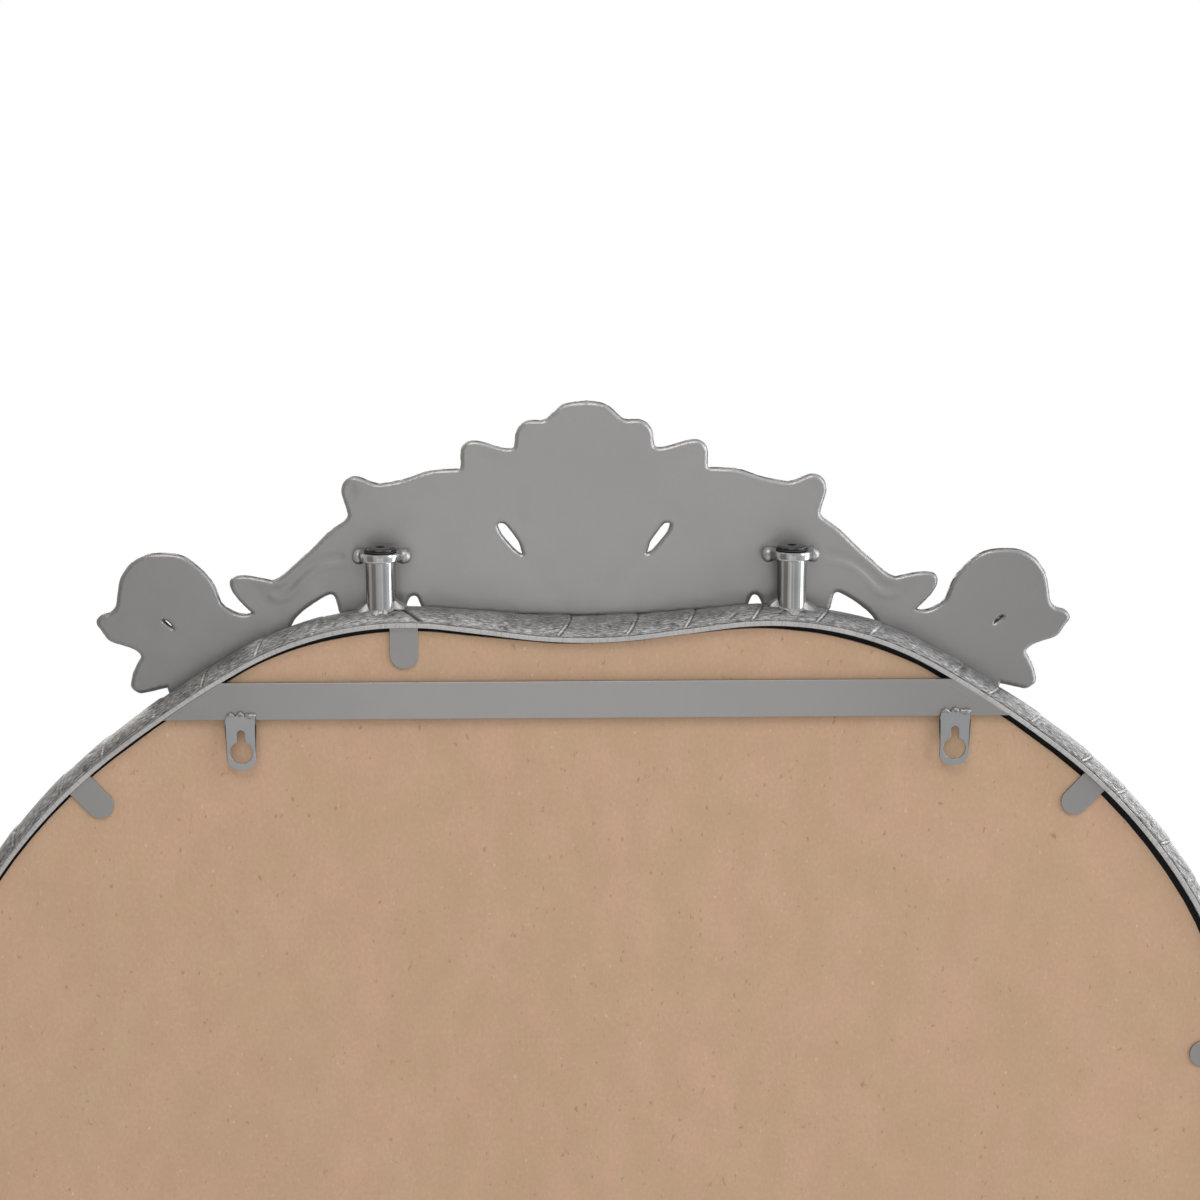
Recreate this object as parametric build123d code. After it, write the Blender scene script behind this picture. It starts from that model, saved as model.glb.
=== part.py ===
from build123d import *
import os
from math import sin, cos, tan, pi, radians, sqrt, atan2, hypot

os.makedirs("parts", exist_ok=True)

# Arched full-length wall mirror.
# Millimetres. +Z up, the glass faces -Y, the wall is on the +Y side.
# Origin: midway between the two keyhole entry holes, on the back plane of the frame.

# ---------------------------------------------------------------- driving sizes
hanger_spacing = 406.4          # between the keyhole entry holes (16 in)
AX = 6.5                        # the frame's centre line lies this far to +X of the hangers' midpoint

# back inner edge of the frame (half outline, tangent arcs and lines, from the top centre)
dip_z = 62.5                    # height of the dip at the top centre
dip_r, dip_a = 296.0, 7.4       # hollow arc of the dip: radius, angle
dip_run = 41.0                  # straight run up to the shoulder
hump_r, hump_a = 187.0, 29.9    # shoulder arc, heading at its end
flank_r, flank_a = 650.0, 37.8  # long flank arc, heading at its end
arch_r, arch_a = 334.0, 58.8    # lower flank arc, heading at its end
side_r = 200.0                  # last arc, into the straight side
bottom_z = -1525.4              # lower inner edge of the rim
corner_r = 30.0                 # bottom corners

frame_depth = 39.0
rim_t, rim_depth = 2.9, 17.0    # steel rim strip: thickness, depth
glass_t, glass_front = 5.0, 17.0
board_t, board_back = 8.0, 4.0
board_gap, board_shift = 2.7, 1.3
board_lift = 0.3                # the board sits this much above its middle place
# gap left between the board's top edge and the rim, at distances from the centre line
board_top_gap = [(186.0, 1.85), (163.0, 2.4), (140.0, 3.1), (123.0, 3.1), (105.0, 2.85), (89.0, 2.65), (67.0, 2.5),
                 (50.0, 2.0), (33.0, 1.5), (16.0, 1.6), (0.0, 1.1), (-29.0, 1.1), (-52.0, 0.95), (-75.0, 1.45),
                 (-92.0, 2.0), (-108.0, 2.65), (-120.0, 3.2), (-131.0, 3.2), (-148.0, 3.6), (-176.0, 3.55), (-190.0, 3.1)]
top_tab_x = 103.4
upper_tab_left, upper_tab_right = 290.4, 292.6
sight_n = -12.0                 # sight edge, inward from the rim's inner edge
seat_n = 6.0                    # the crest's seat on the frame, outward from the rim's inner edge
seat_dip_z = 72.4               # height of the seat at the top centre
seat_dip_r = 620.0

bar_low, bar_high, bar_t = 18.7, 40.3, 3.0
hang_w, hang_top, hang_bottom, hang_t = 16.8, 21.4, -10.3, 1.6
key_r, key_slot_w, key_slot_top = 6.4, 4.4, 13.1
tab_w, tab_len, tab_t = 16.0, 24.5, 1.5

crest_back, crest_t = 26.0, 7.0
post_x, post_y, post_r = 116.5, -13.8, 8.5
post_top = 108.4
lug_r, lug_t = 12.4, 4.6
washer_r, washer_t = 9.2, 1.0
head_r, head_h = 8.7, 1.8
shank_r, shank_len = 3.0, 24.0
bore_r = 3.1


def V(u, v, y=0.0):
    return Vector(u, y, v)


# ---------------------------------------------------------------- frame outline
def chain(off, seat=False):
    """Right half of the outline at a distance off outside the rim's inner edge, as
    ('line', p, q) and ('arc', p, m, q) in (x, z) about the frame's centre line."""
    t1 = radians(dip_a)
    # base positions of the shoulder arc's centre
    bx = dip_r * sin(t1) + dip_run * cos(t1)
    bz = dip_z + dip_r * (1 - cos(t1)) + dip_run * sin(t1)
    cx, cz = bx + hump_r * sin(t1), bz - hump_r * cos(t1)
    segs = []
    if seat:
        r2 = hump_r + off
        z0 = seat_dip_z + (off - seat_n)
        r1 = seat_dip_r
        lo, hi = 0.005, 0.16

        def miss(t):
            px, pz = cx - r2 * sin(t), cz + r2 * cos(t)
            run = (px - r1 * sin(t)) / cos(t)
            return z0 + r1 * (1 - cos(t)) + run * sin(t) - pz
        for _ in range(60):
            mid = (lo + hi) / 2
            if miss(mid) < 0:
                lo = mid
            else:
                hi = mid
        th = (lo + hi) / 2
        p0 = (0.0, z0)
        pm = (r1 * sin(th / 2), z0 + r1 * (1 - cos(th / 2)))
        p1 = (r1 * sin(th), z0 + r1 * (1 - cos(th)))
        p2 = (cx - r2 * sin(th), cz + r2 * cos(th))
    else:
        th = t1
        r1 = dip_r - off
        c1 = dip_z + dip_r
        p0 = (0.0, c1 - r1)
        pm = (r1 * sin(th / 2), c1 - r1 * cos(th / 2))
        p1 = (r1 * sin(th), c1 - r1 * cos(th))
        r2 = hump_r + off
        p2 = (cx - r2 * sin(th), cz + r2 * cos(th))
    segs.append(("arc", p0, pm, p1))
    segs.append(("line", p1, p2))
    # convex arcs: h is the downward heading
    h = -th
    ccx, ccz, rad = cx, cz, hump_r
    ends = [(hump_r, hump_a), (flank_r, flank_a), (arch_r, arch_a), (side_r, 90.0)]
    for k, (r, a) in enumerate(ends):
        h2 = radians(a)
        if k:
            ccx = ccx + (rad - r) * sin(h)
            ccz = ccz + (rad - r) * cos(h)
            rad = r
        ro = r + off
        q = [(ccx + ro * sin(t), ccz + ro * cos(t)) for t in (h, (h + h2) / 2, h2)]
        segs.append(("arc", q[0], q[1], q[2]))
        h = h2
    xs, zs = segs[-1][3]
    rc = corner_r + off
    ccz2 = bottom_z + corner_r
    ccx2 = (xs - off) - corner_r
    segs.append(("line", (xs, zs), (ccx2 + rc, ccz2)))
    segs.append(("arc", (ccx2 + rc, ccz2), (ccx2 + rc * sin(radians(135)), ccz2 + rc * cos(radians(135))),
                 (ccx2, ccz2 - rc)))
    segs.append(("line", (ccx2, ccz2 - rc), (0.0, ccz2 - rc)))
    return segs


def outline(off, y, seat=False, dx=0.0, dz=0.0):
    """Closed wire of the outline in the plane Y = y."""
    right = chain(off, seat)
    ed = []

    def edge(s, sx, rev):
        pts = [(sx * p[0], p[1]) for p in s[1:]]
        if rev:
            pts = pts[::-1]
        w = [V(AX + dx + p[0], p[1] + dz, y) for p in pts]
        if s[0] == "line":
            return Edge.make_line(w[0], w[1])
        return Edge.make_three_point_arc(w[0], w[1], w[2])
    for s in right:
        ed.append(edge(s, 1, False))
    for s in right[::-1]:
        ed.append(edge(s, -1, True))
    return Wire(ed)


def plate(off, y_back, y_front, seat=False, dx=0.0, dz=0.0):
    return extrude(Face(outline(off, y_back, seat, dx, dz)), amount=abs(y_front - y_back), dir=(0, -1, 0))


def ring_loft(sections):
    """Ruled solid through outlines given as (offset, y, seat)."""
    return Solid.make_loft([outline(o, y, s) for o, y, s in sections], ruled=True)


rim_half = chain(0.0)
half_width = rim_half[5][3][0]


def rim_point(x):
    """Point and outward normal angle of the rim's inner edge above x (x from the centre line)."""
    best = None
    for s in chain(0.0)[:6]:
        if s[0] == "line":
            n = 60
            for i in range(n + 1):
                t = i / n
                p = (s[1][0] + t * (s[2][0] - s[1][0]), s[1][1] + t * (s[2][1] - s[1][1]))
                d = (s[2][0] - s[1][0], s[2][1] - s[1][1])
                if best is None or abs(p[0] - abs(x)) < best[0]:
                    best = (abs(p[0] - abs(x)), p, atan2(-d[1], d[0]))
        else:
            (x1, z1), (x2, z2), (x3, z3) = s[1:]
            a = x1 - x2; b = z1 - z2; c = x1 - x3; d = z1 - z3
            e = ((x1**2 - x2**2) + (z1**2 - z2**2)) / 2
            f = ((x1**2 - x3**2) + (z1**2 - z3**2)) / 2
            det = a * d - b * c
            cx, cz = (d * e - b * f) / det, (a * f - c * e) / det
            r = hypot(x1 - cx, z1 - cz)
            a1, a3 = atan2(z1 - cz, x1 - cx), atan2(z3 - cz, x3 - cx)
            for i in range(121):
                t = a1 + (a3 - a1) * i / 120
                p = (cx + r * cos(t), cz + r * sin(t))
                sg = -1 if (a3 > a1) else 1
                if best is None or abs(p[0] - abs(x)) < best[0]:
                    nn = (cos(t) * sg, sin(t) * sg)
                    best = (abs(p[0] - abs(x)), p, atan2(nn[0], nn[1]))
    return best[1], best[2]


# ---------------------------------------------------------------- frame moulding
outer = ring_loft([
    (3.0, 0.0, False),
    (5.4, -1.2, False),
    (8.0, -5.0, False),
    (9.4, -10.0, False),
    (9.4, -16.0, False),
    (7.6, -22.5, False),
    (seat_n, -25.6, True),
    (seat_n, -31.0, True),
    (3.6, -36.0, True),
    (-1.5, -frame_depth, True),
])
inner = ring_loft([
    (-1.5 - 1.5, -frame_depth - 0.5, False),
    (-7.5, -37.6, False),
    (-10.6, -33.5, False),
    (sight_n, -26.0, False),
    (sight_n, -16.0, False),
])
rebate = plate(2.95, 1.0, -glass_front)
frame_moulding = outer - inner - rebate

rebate_rim = plate(rim_t, 0.0, -rim_depth) - plate(0.0, 1.0, -rim_depth - 1.0)

# ---------------------------------------------------------------- glass and board
mirror_glass = plate(-1.2, -(glass_front - glass_t), -glass_front)


def board_head(y, depth, grow=0.0):
    """Top of the board, its upper edge at the measured gap below the rim."""
    pts = []
    for i in range(95):
        u = 186.0 - 376.0 * i / 94
        for (u1, g1), (u2, g2) in zip(board_top_gap, board_top_gap[1:]):
            if u2 <= u <= u1:
                g = g1 + (g2 - g1) * (u1 - u) / (u1 - u2) - grow
        (px, pz), a = rim_point(u)
        pts.append(V(AX + (px - g * sin(a)) * (1 if u >= 0 else -1), pz - g * cos(a), y))
    x1, x2 = pts[-1].X, pts[0].X
    pts += [V(x1, 30.0, y), V(x2, 30.0, y)]
    head = extrude(Face(Wire.make_polygon(pts)), amount=depth, dir=(0, -1, 0))
    zone = extrude(Face(Wire.make_polygon([V(x1, 30.0, 5.0), V(x2, 30.0, 5.0), V(x2, 120.0, 5.0), V(x1, 120.0, 5.0)])), amount=40.0, dir=(0, -1, 0))
    return head, zone


head, head_zone = board_head(-board_back, board_t)
backing_board = plate(-board_gap, -board_back, -(board_back + board_t), dx=board_shift, dz=board_lift) - head_zone + head
head_wide, head_zone = board_head(-5.0, board_t + 1.0, 0.05)
edge_packing = (plate(-0.05, -5.6, -(board_back + board_t))
                - (plate(-board_gap + 0.05, -5.0, -(board_back + board_t) - 0.5, dx=board_shift, dz=board_lift) - head_zone) - head_wide)

# ---------------------------------------------------------------- crossbar and its end welds
bar_blank = extrude(Face(Wire.make_polygon([V(-330, bar_low, 0), V(340, bar_low, 0), V(340, bar_high, 0), V(-330, bar_high, 0)])),
                    amount=bar_t, dir=(0, -1, 0))
crossbar = bar_blank & plate(-0.02, 0.5, -6.0)


def end_weld(sx):
    """Low dressed fillet on the inner face of the rim, along the bar's cut end, on the board side."""
    zone = extrude(Face(Wire.make_polygon([V(AX + sx * 150, bar_low + 1, 0), V(AX + sx * 330, bar_low + 1, 0),
                                           V(AX + sx * 330, bar_high - 1, 0), V(AX + sx * 150, bar_high - 1, 0)])),
                   amount=bar_t + 0.9, dir=(0, -1, 0))
    lip = (plate(-0.03, 0.5, -3.8) - plate(-2.2, 1.0, -5.0)) & zone
    return lip - crossbar


crossbar_weld_left = end_weld(1)
crossbar_weld_right = end_weld(-1)


# ---------------------------------------------------------------- keyhole hangers
def hanger(x):
    w = hang_w / 2
    base = Face(Wire.make_polygon([V(x - w, hang_bottom, 0), V(x + w, hang_bottom, 0), V(x + w, hang_top, 0), V(x - w, hang_top, 0)]))
    blank = extrude(base, amount=hang_t, dir=(0, 1, 0))
    low = [e for e in blank.edges() if abs(e.center().Z - hang_bottom) < 0.2 and abs(abs(e.center().X - x) - w) < 0.01]
    blank = fillet(low, 7.3)
    top = [e for e in blank.edges() if abs(e.center().Z - hang_top) < 0.01 and abs(abs(e.center().X - x) - w) < 0.01]
    blank = fillet(top, 1.2)
    rims = [e for e in blank.edges() if abs(e.center().Y - hang_t) < 0.01]
    blank = fillet(rims, 0.45)
    hole = Pos(x, hang_t / 2, 0) * Rot(90, 0, 0) * Cylinder(key_r, hang_t * 3)
    slot_c = key_slot_top - key_slot_w / 2
    slot = Pos(x, hang_t / 2, slot_c / 2) * Box(key_slot_w, hang_t * 3, slot_c)
    slot_end = Pos(x, hang_t / 2, slot_c) * Rot(90, 0, 0) * Cylinder(key_slot_w / 2, hang_t * 3)
    return blank - hole - slot - slot_end


keyhole_hanger_left = hanger(hanger_spacing / 2)
keyhole_hanger_right = hanger(-hanger_spacing / 2)


def bead(length, r):
    """Short round-ended bead along X."""
    b = Rot(0, 90, 0) * Cylinder(r, length)
    return b + Pos(length / 2, 0, 0) * Sphere(r) + Pos(-length / 2, 0, 0) * Sphere(r)


def hanger_beads(x):
    out = []
    for dx, dz, length, r, tilt in ((5.2, 0.2, 2.6, 1.25, 8.0), (-0.2, 0.8, 3.0, 1.3, -6.0), (-5.9, 0.0, 3.6, 1.75, 0.0)):
        b = Pos(x + dx, hang_t * 0.45, hang_top + dz) * Rot(0, tilt, 0) * bead(length, r)
        b = b - (keyhole_hanger_left if x > 0 else keyhole_hanger_right) - crossbar
        out += [s for s in b.solids() if s.volume > 0.5]
    return Compound(out)


hanger_welds_left = hanger_beads(hanger_spacing / 2)
hanger_welds_right = hanger_beads(-hanger_spacing / 2)


# ---------------------------------------------------------------- retaining tabs
def tab(px, pz, ang, dx=0.0):
    """Round-ended tab from the rim's inner edge at (px, pz) towards the glass.
    ang is the outward normal's angle from +Z towards +X."""
    r = tab_w / 2
    sk = Rectangle(tab_w, tab_len - r, align=(Align.CENTER, Align.MIN)) + Pos(0, tab_len - r) * Circle(r)
    body = extrude(sk, amount=tab_t)                      # local: x across, y along the tab, z thickness
    long_edges = [e for e in body.edges() if e.center().Z > tab_t - 0.01 and e.center().Y > 0.5]
    body = fillet(long_edges, 0.35)
    leg = Pos(0, 0.76, -2.4) * Box(tab_w, 1.5, 4.8)       # bent root on the rim's inner face
    body = body + leg
    # local y -> inward (-normal), local z -> +Y (towards the wall)
    n = (sin(ang), cos(ang))
    plane = Plane(origin=(AX + px + n[0] * 0.2, -board_back, pz + n[1] * 0.2),
                  x_dir=(n[1], 0, -n[0]), z_dir=(0, 1, 0))
    return plane * body - rebate_rim


def side_tab(sx, z):
    return tab(sx * half_width, z, sx * pi / 2)


retaining_tab_top = tab(top_tab_x, rim_point(top_tab_x)[0][1], -0.012)
dp, da = rim_point(upper_tab_left)
ep, ea = rim_point(upper_tab_right)
retaining_tab_upper_left = tab(dp[0], dp[1], da)
retaining_tab_upper_right = tab(-ep[0], ep[1], -ea)
tab_heights = (-190.0, -560.0, -930.0, -1300.0)
retaining_tabs_left = Compound([side_tab(1, z) for z in tab_heights])
retaining_tabs_right = Compound([side_tab(-1, z) for z in tab_heights])
retaining_tabs_bottom = Compound([tab(x, bottom_z, pi) for x in (-230.0, 0.0, 230.0)])

# room for the tabs' roots in the packing strip
tab_nodes = [retaining_tab_top, retaining_tab_upper_left, retaining_tab_upper_right,
             retaining_tabs_left, retaining_tabs_right, retaining_tabs_bottom]


def root_room(px, pz, ang):
    n = (sin(ang), cos(ang))
    plane = Plane(origin=(AX + px, -board_back, pz), x_dir=(n[1], 0, -n[0]), z_dir=(0, 1, 0))
    return plane * (Pos(0, 0.9, -2.9) * Box(tab_w + 0.6, 2.4, 7.4))


rooms = [root_room(top_tab_x, rim_point(top_tab_x)[0][1], -0.012), root_room(dp[0], dp[1], da), root_room(-ep[0], ep[1], -ea)]
rooms += [root_room(s * half_width, z, s * pi / 2) for s in (1, -1) for z in tab_heights]
rooms += [root_room(x, bottom_z, pi) for x in (-230.0, 0.0, 230.0)]
for r in rooms:
    edge_packing = edge_packing - r
    backing_board = backing_board - r

# ---------------------------------------------------------------- crest
CX = AX + 1.0                   # the crest's own centre line
half_spans = [
    [(0.0, 195.2), (5.7, 194.8), (11.2, 193.5), (15.3, 190.8), (20.6, 185.9), (22.4, 184.9), (24.8, 184.5)],
    [(24.8, 184.5), (30.5, 184.6), (33.6, 183.7), (36.0, 181.5), (37.1, 179.8), (38.0, 176.7), (38.5, 172.0), (39.5, 169.6), (41.4, 168.7)],
    [(41.4, 168.7), (45.2, 168.8), (53.0, 170.9), (61.2, 173.0), (66.2, 172.2), (68.8, 169.0), (69.1, 164.0), (69.2, 159.6), (69.8, 157.9), (71.1, 157.0)],
    [(71.1, 157.0), (79.0, 156.8), (86.7, 156.1), (94.5, 153.8), (102.7, 151.1), (109.0, 149.7), (116.0, 148.7)],
    [(116.0, 148.7), (119.9, 149.3), (124.5, 151.2), (128.8, 152.8), (131.4, 152.9), (133.8, 151.9), (136.2, 149.1), (137.1, 145.3), (136.4, 141.5), (134.1, 133.7), (133.8, 131.4), (134.3, 129.9)],
    [(134.3, 129.9), (136.5, 127.6), (143.0, 123.0), (148.2, 118.5), (155.2, 111.5), (162.7, 104.7), (170.2, 98.0), (174.8, 94.5), (178.9, 92.9)],
    [(178.9, 92.9), (185.5, 94.4), (191.0, 95.4), (196.3, 95.9), (199.9, 95.3), (201.7, 94.0), (202.2, 91.9), (201.1, 88.0), (196.3, 81.4), (189.8, 74.9)],
    [(189.8, 74.9), (191.0, 74.2), (194.2, 73.4), (198.0, 73.6), (202.6, 75.3), (207.0, 78.3), (209.4, 81.5), (211.7, 88.3), (215.5, 95.2), (222.1, 102.2), (229.0, 107.2), (236.2, 109.0),
     (244.7, 109.2), (250.1, 108.4), (256.3, 105.4), (260.6, 101.4), (264.5, 95.2), (265.5, 92.1), (266.5, 86.7), (267.4, 81.2), (268.7, 77.7), (271.8, 74.9)],
    [(271.8, 74.9), (277.7, 72.7), (279.4, 69.7), (277.3, 66.0), (274.8, 62.0), (272.6, 59.6), (266.0, 57.1), (259.3, 54.6), (256.9, 53.0), (255.3, 51.2), (254.8, 48.9)],
    [(254.8, 48.9), (258.7, 42.1), (260.6, 36.7), (261.2, 32.1), (260.2, 30.5), (257.8, 28.9), (255.6, 28.6), (248.3, 30.2), (241.0, 31.8)],
]
lens_slot = [(48.9, 127.2), (46.3, 127.3), (45.0, 126.8), (38.7, 118.8), (36.4, 114.8), (35.5, 111.8), (34.8, 109.0), (35.1, 108.1), (35.8, 107.8), (37.2, 108.2), (41.5, 112.0), (46.5, 117.9), (48.8, 121.3), (49.9, 124.2), (50.0, 125.8)]
volute_slit = [(241.5, 71.7), (239.6, 71.1), (237.2, 69.0), (236.1, 66.6), (236.2, 65.8), (236.7, 65.6), (240.9, 68.7), (242.3, 70.2), (242.4, 70.9)]
arch_opening = [(103.4, 60.0), (103.4, 78.6), (101.7, 82.7), (99.5, 84.8), (97.2, 85.1), (96.0, 84.6), (94.8, 82.9), (93.2, 78.6), (92.4, 60.0)]
side_opening = [(138.0, 50.0), (140.4, 75.9), (142.6, 84.5), (143.7, 85.7), (145.6, 86.3), (149.4, 85.0), (153.5, 82.6), (161.0, 77.4), (165.1, 73.8), (167.5, 71.0), (169.7, 67.0), (176.0, 50.0)]


def crest_face(y):
    ed = []
    for sx in (1, -1):
        for sp in half_spans:
            ed.append(Edge.make_spline([V(CX + sx * u, w, y) for u, w in sp]))
        ed.append(Edge.make_line(V(CX + sx * 241.0, 31.8, y), V(CX + sx * 232.0, 2.0, y)))
    ed.append(Edge.make_line(V(CX + 232.0, 2.0, y), V(CX - 232.0, 2.0, y)))
    return Face(Wire.combine(ed, 0.05)[0])


def cutter(points, y, closed_line=True, sx=1):
    return extrude(Face(Wire.make_polygon([V(CX + sx * u, w, y) for u, w in points])), amount=60, dir=(0, -1, 0))


seat_cut = extrude(Face(outline(seat_n + 0.3, -10.0, seat=True)), amount=60, dir=(0, -1, 0))
crest = extrude(crest_face(-crest_back), amount=crest_t, dir=(0, -1, 0)) - seat_cut
for sx in (1, -1):
    for pts in (lens_slot, volute_slit, arch_opening, side_opening):
        crest = crest - cutter(pts, -10.0, sx=sx)

# raised front ornament, on the plate's front face
front = Plane(origin=(CX, -(crest_back + crest_t - 0.6), 0), x_dir=(1, 0, 0), z_dir=(0, -1, 0))


def rib(p, q, r, h):
    (x1, z1), (x2, z2) = p, q
    L = hypot(x2 - x1, z2 - z1)
    sk = Rectangle(L, 2 * r) + Pos(-L / 2, 0) * Circle(r) + Pos(L / 2, 0) * Circle(r)
    b = extrude(sk, amount=h)
    b = fillet([e for e in b.edges() if e.center().Z > h - 0.01], min(r * 0.6, h * 0.7))
    return front * (Pos((x1 + x2) / 2, (z1 + z2) / 2, 0) * Rot(0, 0, atan2(z2 - z1, x2 - x1) * 180 / pi) * b)


ribs = [((0, 118), (0, 182), 7.0, 8.6)]
for s in (1, -1):
    ribs += [((s * 12, 118), (s * 26, 175), 5.5, 7.6), ((s * 24, 116), (s * 50, 163), 5.5, 7.0),
             ((s * 60, 112), (s * 100, 141), 7.0, 6.6), ((s * 100, 141), (s * 126, 143), 6.0, 5.8),
             ((s * 62, 92), (s * 118, 118), 9.0, 8.0), ((s * 118, 118), (s * 172, 84), 7.0, 7.6),
             ((s * 172, 84), (s * 192, 88), 5.5, 6.2), ((s * 206, 62), (s * 230, 44), 7.0, 6.0)]
for a, b, r, h in ribs:
    crest = crest + rib(a, b, r, h)
for s in (1, -1):
    boss = extrude(Circle(19.0) - Circle(11.5), amount=7.0) + extrude(Circle(7.0), amount=8.2)
    crest = crest + front * (Pos(s * 240, 82, 0) * boss)
boss = extrude(Circle(15.0), amount=9.6)
crest = crest + front * (Pos(0, 97, 0) * boss)
crest = crest - seat_cut

# ---------------------------------------------------------------- posts, lugs, screws
frame_body = frame_moulding


def post(sx):
    x = AX + sx * post_x
    p = Pos(x, post_y, (76.0 + post_top) / 2) * Cylinder(post_r, post_top - 76.0)
    p = p - frame_body - rebate_rim
    p = p - Pos(x, post_y, post_top - 12.5) * Cylinder(bore_r, 25.2)
    return max(p.solids(), key=lambda s: s.volume)


post_left, post_right = post(1), post(-1)


def foot_weld(sx):
    x = AX + sx * post_x
    c = Pos(x, post_y, 80.8) * Cone(12.2, 8.7, 7.6)
    c = c - Pos(x, post_y, 90.0) * Cylinder(post_r + 0.02, 60.0) - frame_body - rebate_rim
    c = c - Pos(x, -40.0 - 25.4, 80.0) * Box(60, 80, 60)
    return Compound([s for s in c.solids() if s.volume > 3.0])


post_foot_welds_left, post_foot_welds_right = foot_weld(1), foot_weld(-1)


def lug(sx):
    x = AX + sx * post_x
    r = Pos(x, post_y, post_top + lug_t / 2) * Cylinder(lug_r, lug_t)
    r = fillet([e for e in r.edges() if e.geom_type == GeomType.CIRCLE], 0.5)
    r = r - Pos(x, post_y, post_top) * Cylinder(shank_r + 0.4, 20.0)
    return r - Pos(x, -crest_back - 20.0, post_top) * Box(60, 40.0, 60)


crest_lug_left, crest_lug_right = lug(1), lug(-1)


def lug_welds(sx):
    x = AX + sx * post_x
    out = []
    for s in (1, -1):
        b = Box(7.0, 15.0, 9.6)
        b = fillet(b.edges(), 3.2)
        b = Pos(x + s * 13.4, -20.6, post_top + 2.6) * b
        b = b - Pos(x, post_y, post_top) * Cylinder(lug_r + 0.01, 60.0)
        b = b - Pos(x, -crest_back - 20.0, post_top) * Box(80, 40.0, 60)
        out += [q for q in b.solids() if q.volume > 3.0]
    return Compound(out)


lug_welds_left, lug_welds_right = lug_welds(1), lug_welds(-1)


def screw_washer(sx):
    x = AX + sx * post_x
    w = Pos(x, post_y, post_top + lug_t + washer_t / 2) * (Cylinder(washer_r, washer_t) - Cylinder(shank_r + 0.3, 10.0))
    return w


screw_washer_left, screw_washer_right = screw_washer(1), screw_washer(-1)


def screw(sx):
    x = AX + sx * post_x
    z = post_top + lug_t + washer_t
    h = Cylinder(head_r, head_h, align=(Align.CENTER, Align.CENTER, Align.MIN))
    h = fillet([e for e in h.edges() if e.center().Z > head_h - 0.01], 1.1)
    h = h + Pos(0, 0, -shank_len) * Cylinder(shank_r, shank_len + 0.5, align=(Align.CENTER, Align.CENTER, Align.MIN))
    h = h - Pos(0, 0, head_h - 1.2) * extrude(RegularPolygon(2.9, 6), amount=5.0)
    low = [e for e in h.edges() if abs(e.center().Z + shank_len) < 0.01]
    h = chamfer(low, 0.6)
    return Pos(x, post_y, z) * h


crest_screw_left, crest_screw_right = screw(1), screw(-1)

# ---------------------------------------------------------------- export
nodes = {
    "frame_moulding": frame_moulding,
    "rebate_rim": rebate_rim,
    "mirror_glass": mirror_glass,
    "backing_board": backing_board,
    "edge_packing": edge_packing,
    "crossbar": crossbar,
    "crossbar_weld_left": crossbar_weld_left,
    "crossbar_weld_right": crossbar_weld_right,
    "keyhole_hanger_left": keyhole_hanger_left,
    "keyhole_hanger_right": keyhole_hanger_right,
    "hanger_welds_left": hanger_welds_left,
    "hanger_welds_right": hanger_welds_right,
    "retaining_tab_top": retaining_tab_top,
    "retaining_tab_upper_left": retaining_tab_upper_left,
    "retaining_tab_upper_right": retaining_tab_upper_right,
    "retaining_tabs_left": retaining_tabs_left,
    "retaining_tabs_right": retaining_tabs_right,
    "retaining_tabs_bottom": retaining_tabs_bottom,
    "crest": crest,
    "crest_lug_left": crest_lug_left,
    "crest_lug_right": crest_lug_right,
    "lug_welds_left": lug_welds_left,
    "lug_welds_right": lug_welds_right,
    "post_left": post_left,
    "post_right": post_right,
    "post_foot_welds_left": post_foot_welds_left,
    "post_foot_welds_right": post_foot_welds_right,
    "screw_washer_left": screw_washer_left,
    "screw_washer_right": screw_washer_right,
    "crest_screw_left": crest_screw_left,
    "crest_screw_right": crest_screw_right,
}
for name, shape in nodes.items():
    solids = shape.solids()
    shape = solids[0] if len(solids) == 1 else Compound(list(solids))
    export_step(shape, "parts/%s.step" % name)
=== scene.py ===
import bpy, math
import numpy as np
from math import sin, cos, radians, sqrt, pi
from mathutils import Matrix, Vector
from mathutils.geometry import delaunay_2d_cdt


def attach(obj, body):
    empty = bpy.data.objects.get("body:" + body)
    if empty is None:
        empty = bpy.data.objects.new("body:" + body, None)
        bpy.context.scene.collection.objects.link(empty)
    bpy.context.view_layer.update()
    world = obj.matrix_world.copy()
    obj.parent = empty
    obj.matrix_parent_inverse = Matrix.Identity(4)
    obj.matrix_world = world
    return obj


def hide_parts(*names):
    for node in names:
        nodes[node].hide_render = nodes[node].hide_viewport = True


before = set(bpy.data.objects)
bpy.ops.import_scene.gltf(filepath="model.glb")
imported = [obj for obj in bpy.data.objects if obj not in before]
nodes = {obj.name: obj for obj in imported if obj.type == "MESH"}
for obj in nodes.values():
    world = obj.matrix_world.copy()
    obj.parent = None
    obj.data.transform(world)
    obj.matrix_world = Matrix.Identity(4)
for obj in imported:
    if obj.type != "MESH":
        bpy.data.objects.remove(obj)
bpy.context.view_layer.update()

# Lengths below are millimetres, turned into metres when a mesh is made.
MM = 0.001
AX = 6.5                      # the frame's centre line
CX = AX + 1.0                 # the crest's centre line


# ================================================================ small tools
def hash2(ix, iy, seed):
    h = (ix.astype(np.int64) * 374761393 + iy.astype(np.int64) * 668265263 + seed * 974634777) & 0x7FFFFFFF
    h = ((h ^ (h >> 13)) * 1274126177) & 0x7FFFFFFF
    return ((h ^ (h >> 16)) & 0xFFFF) / 65535.0 * 2.0 - 1.0


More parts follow.
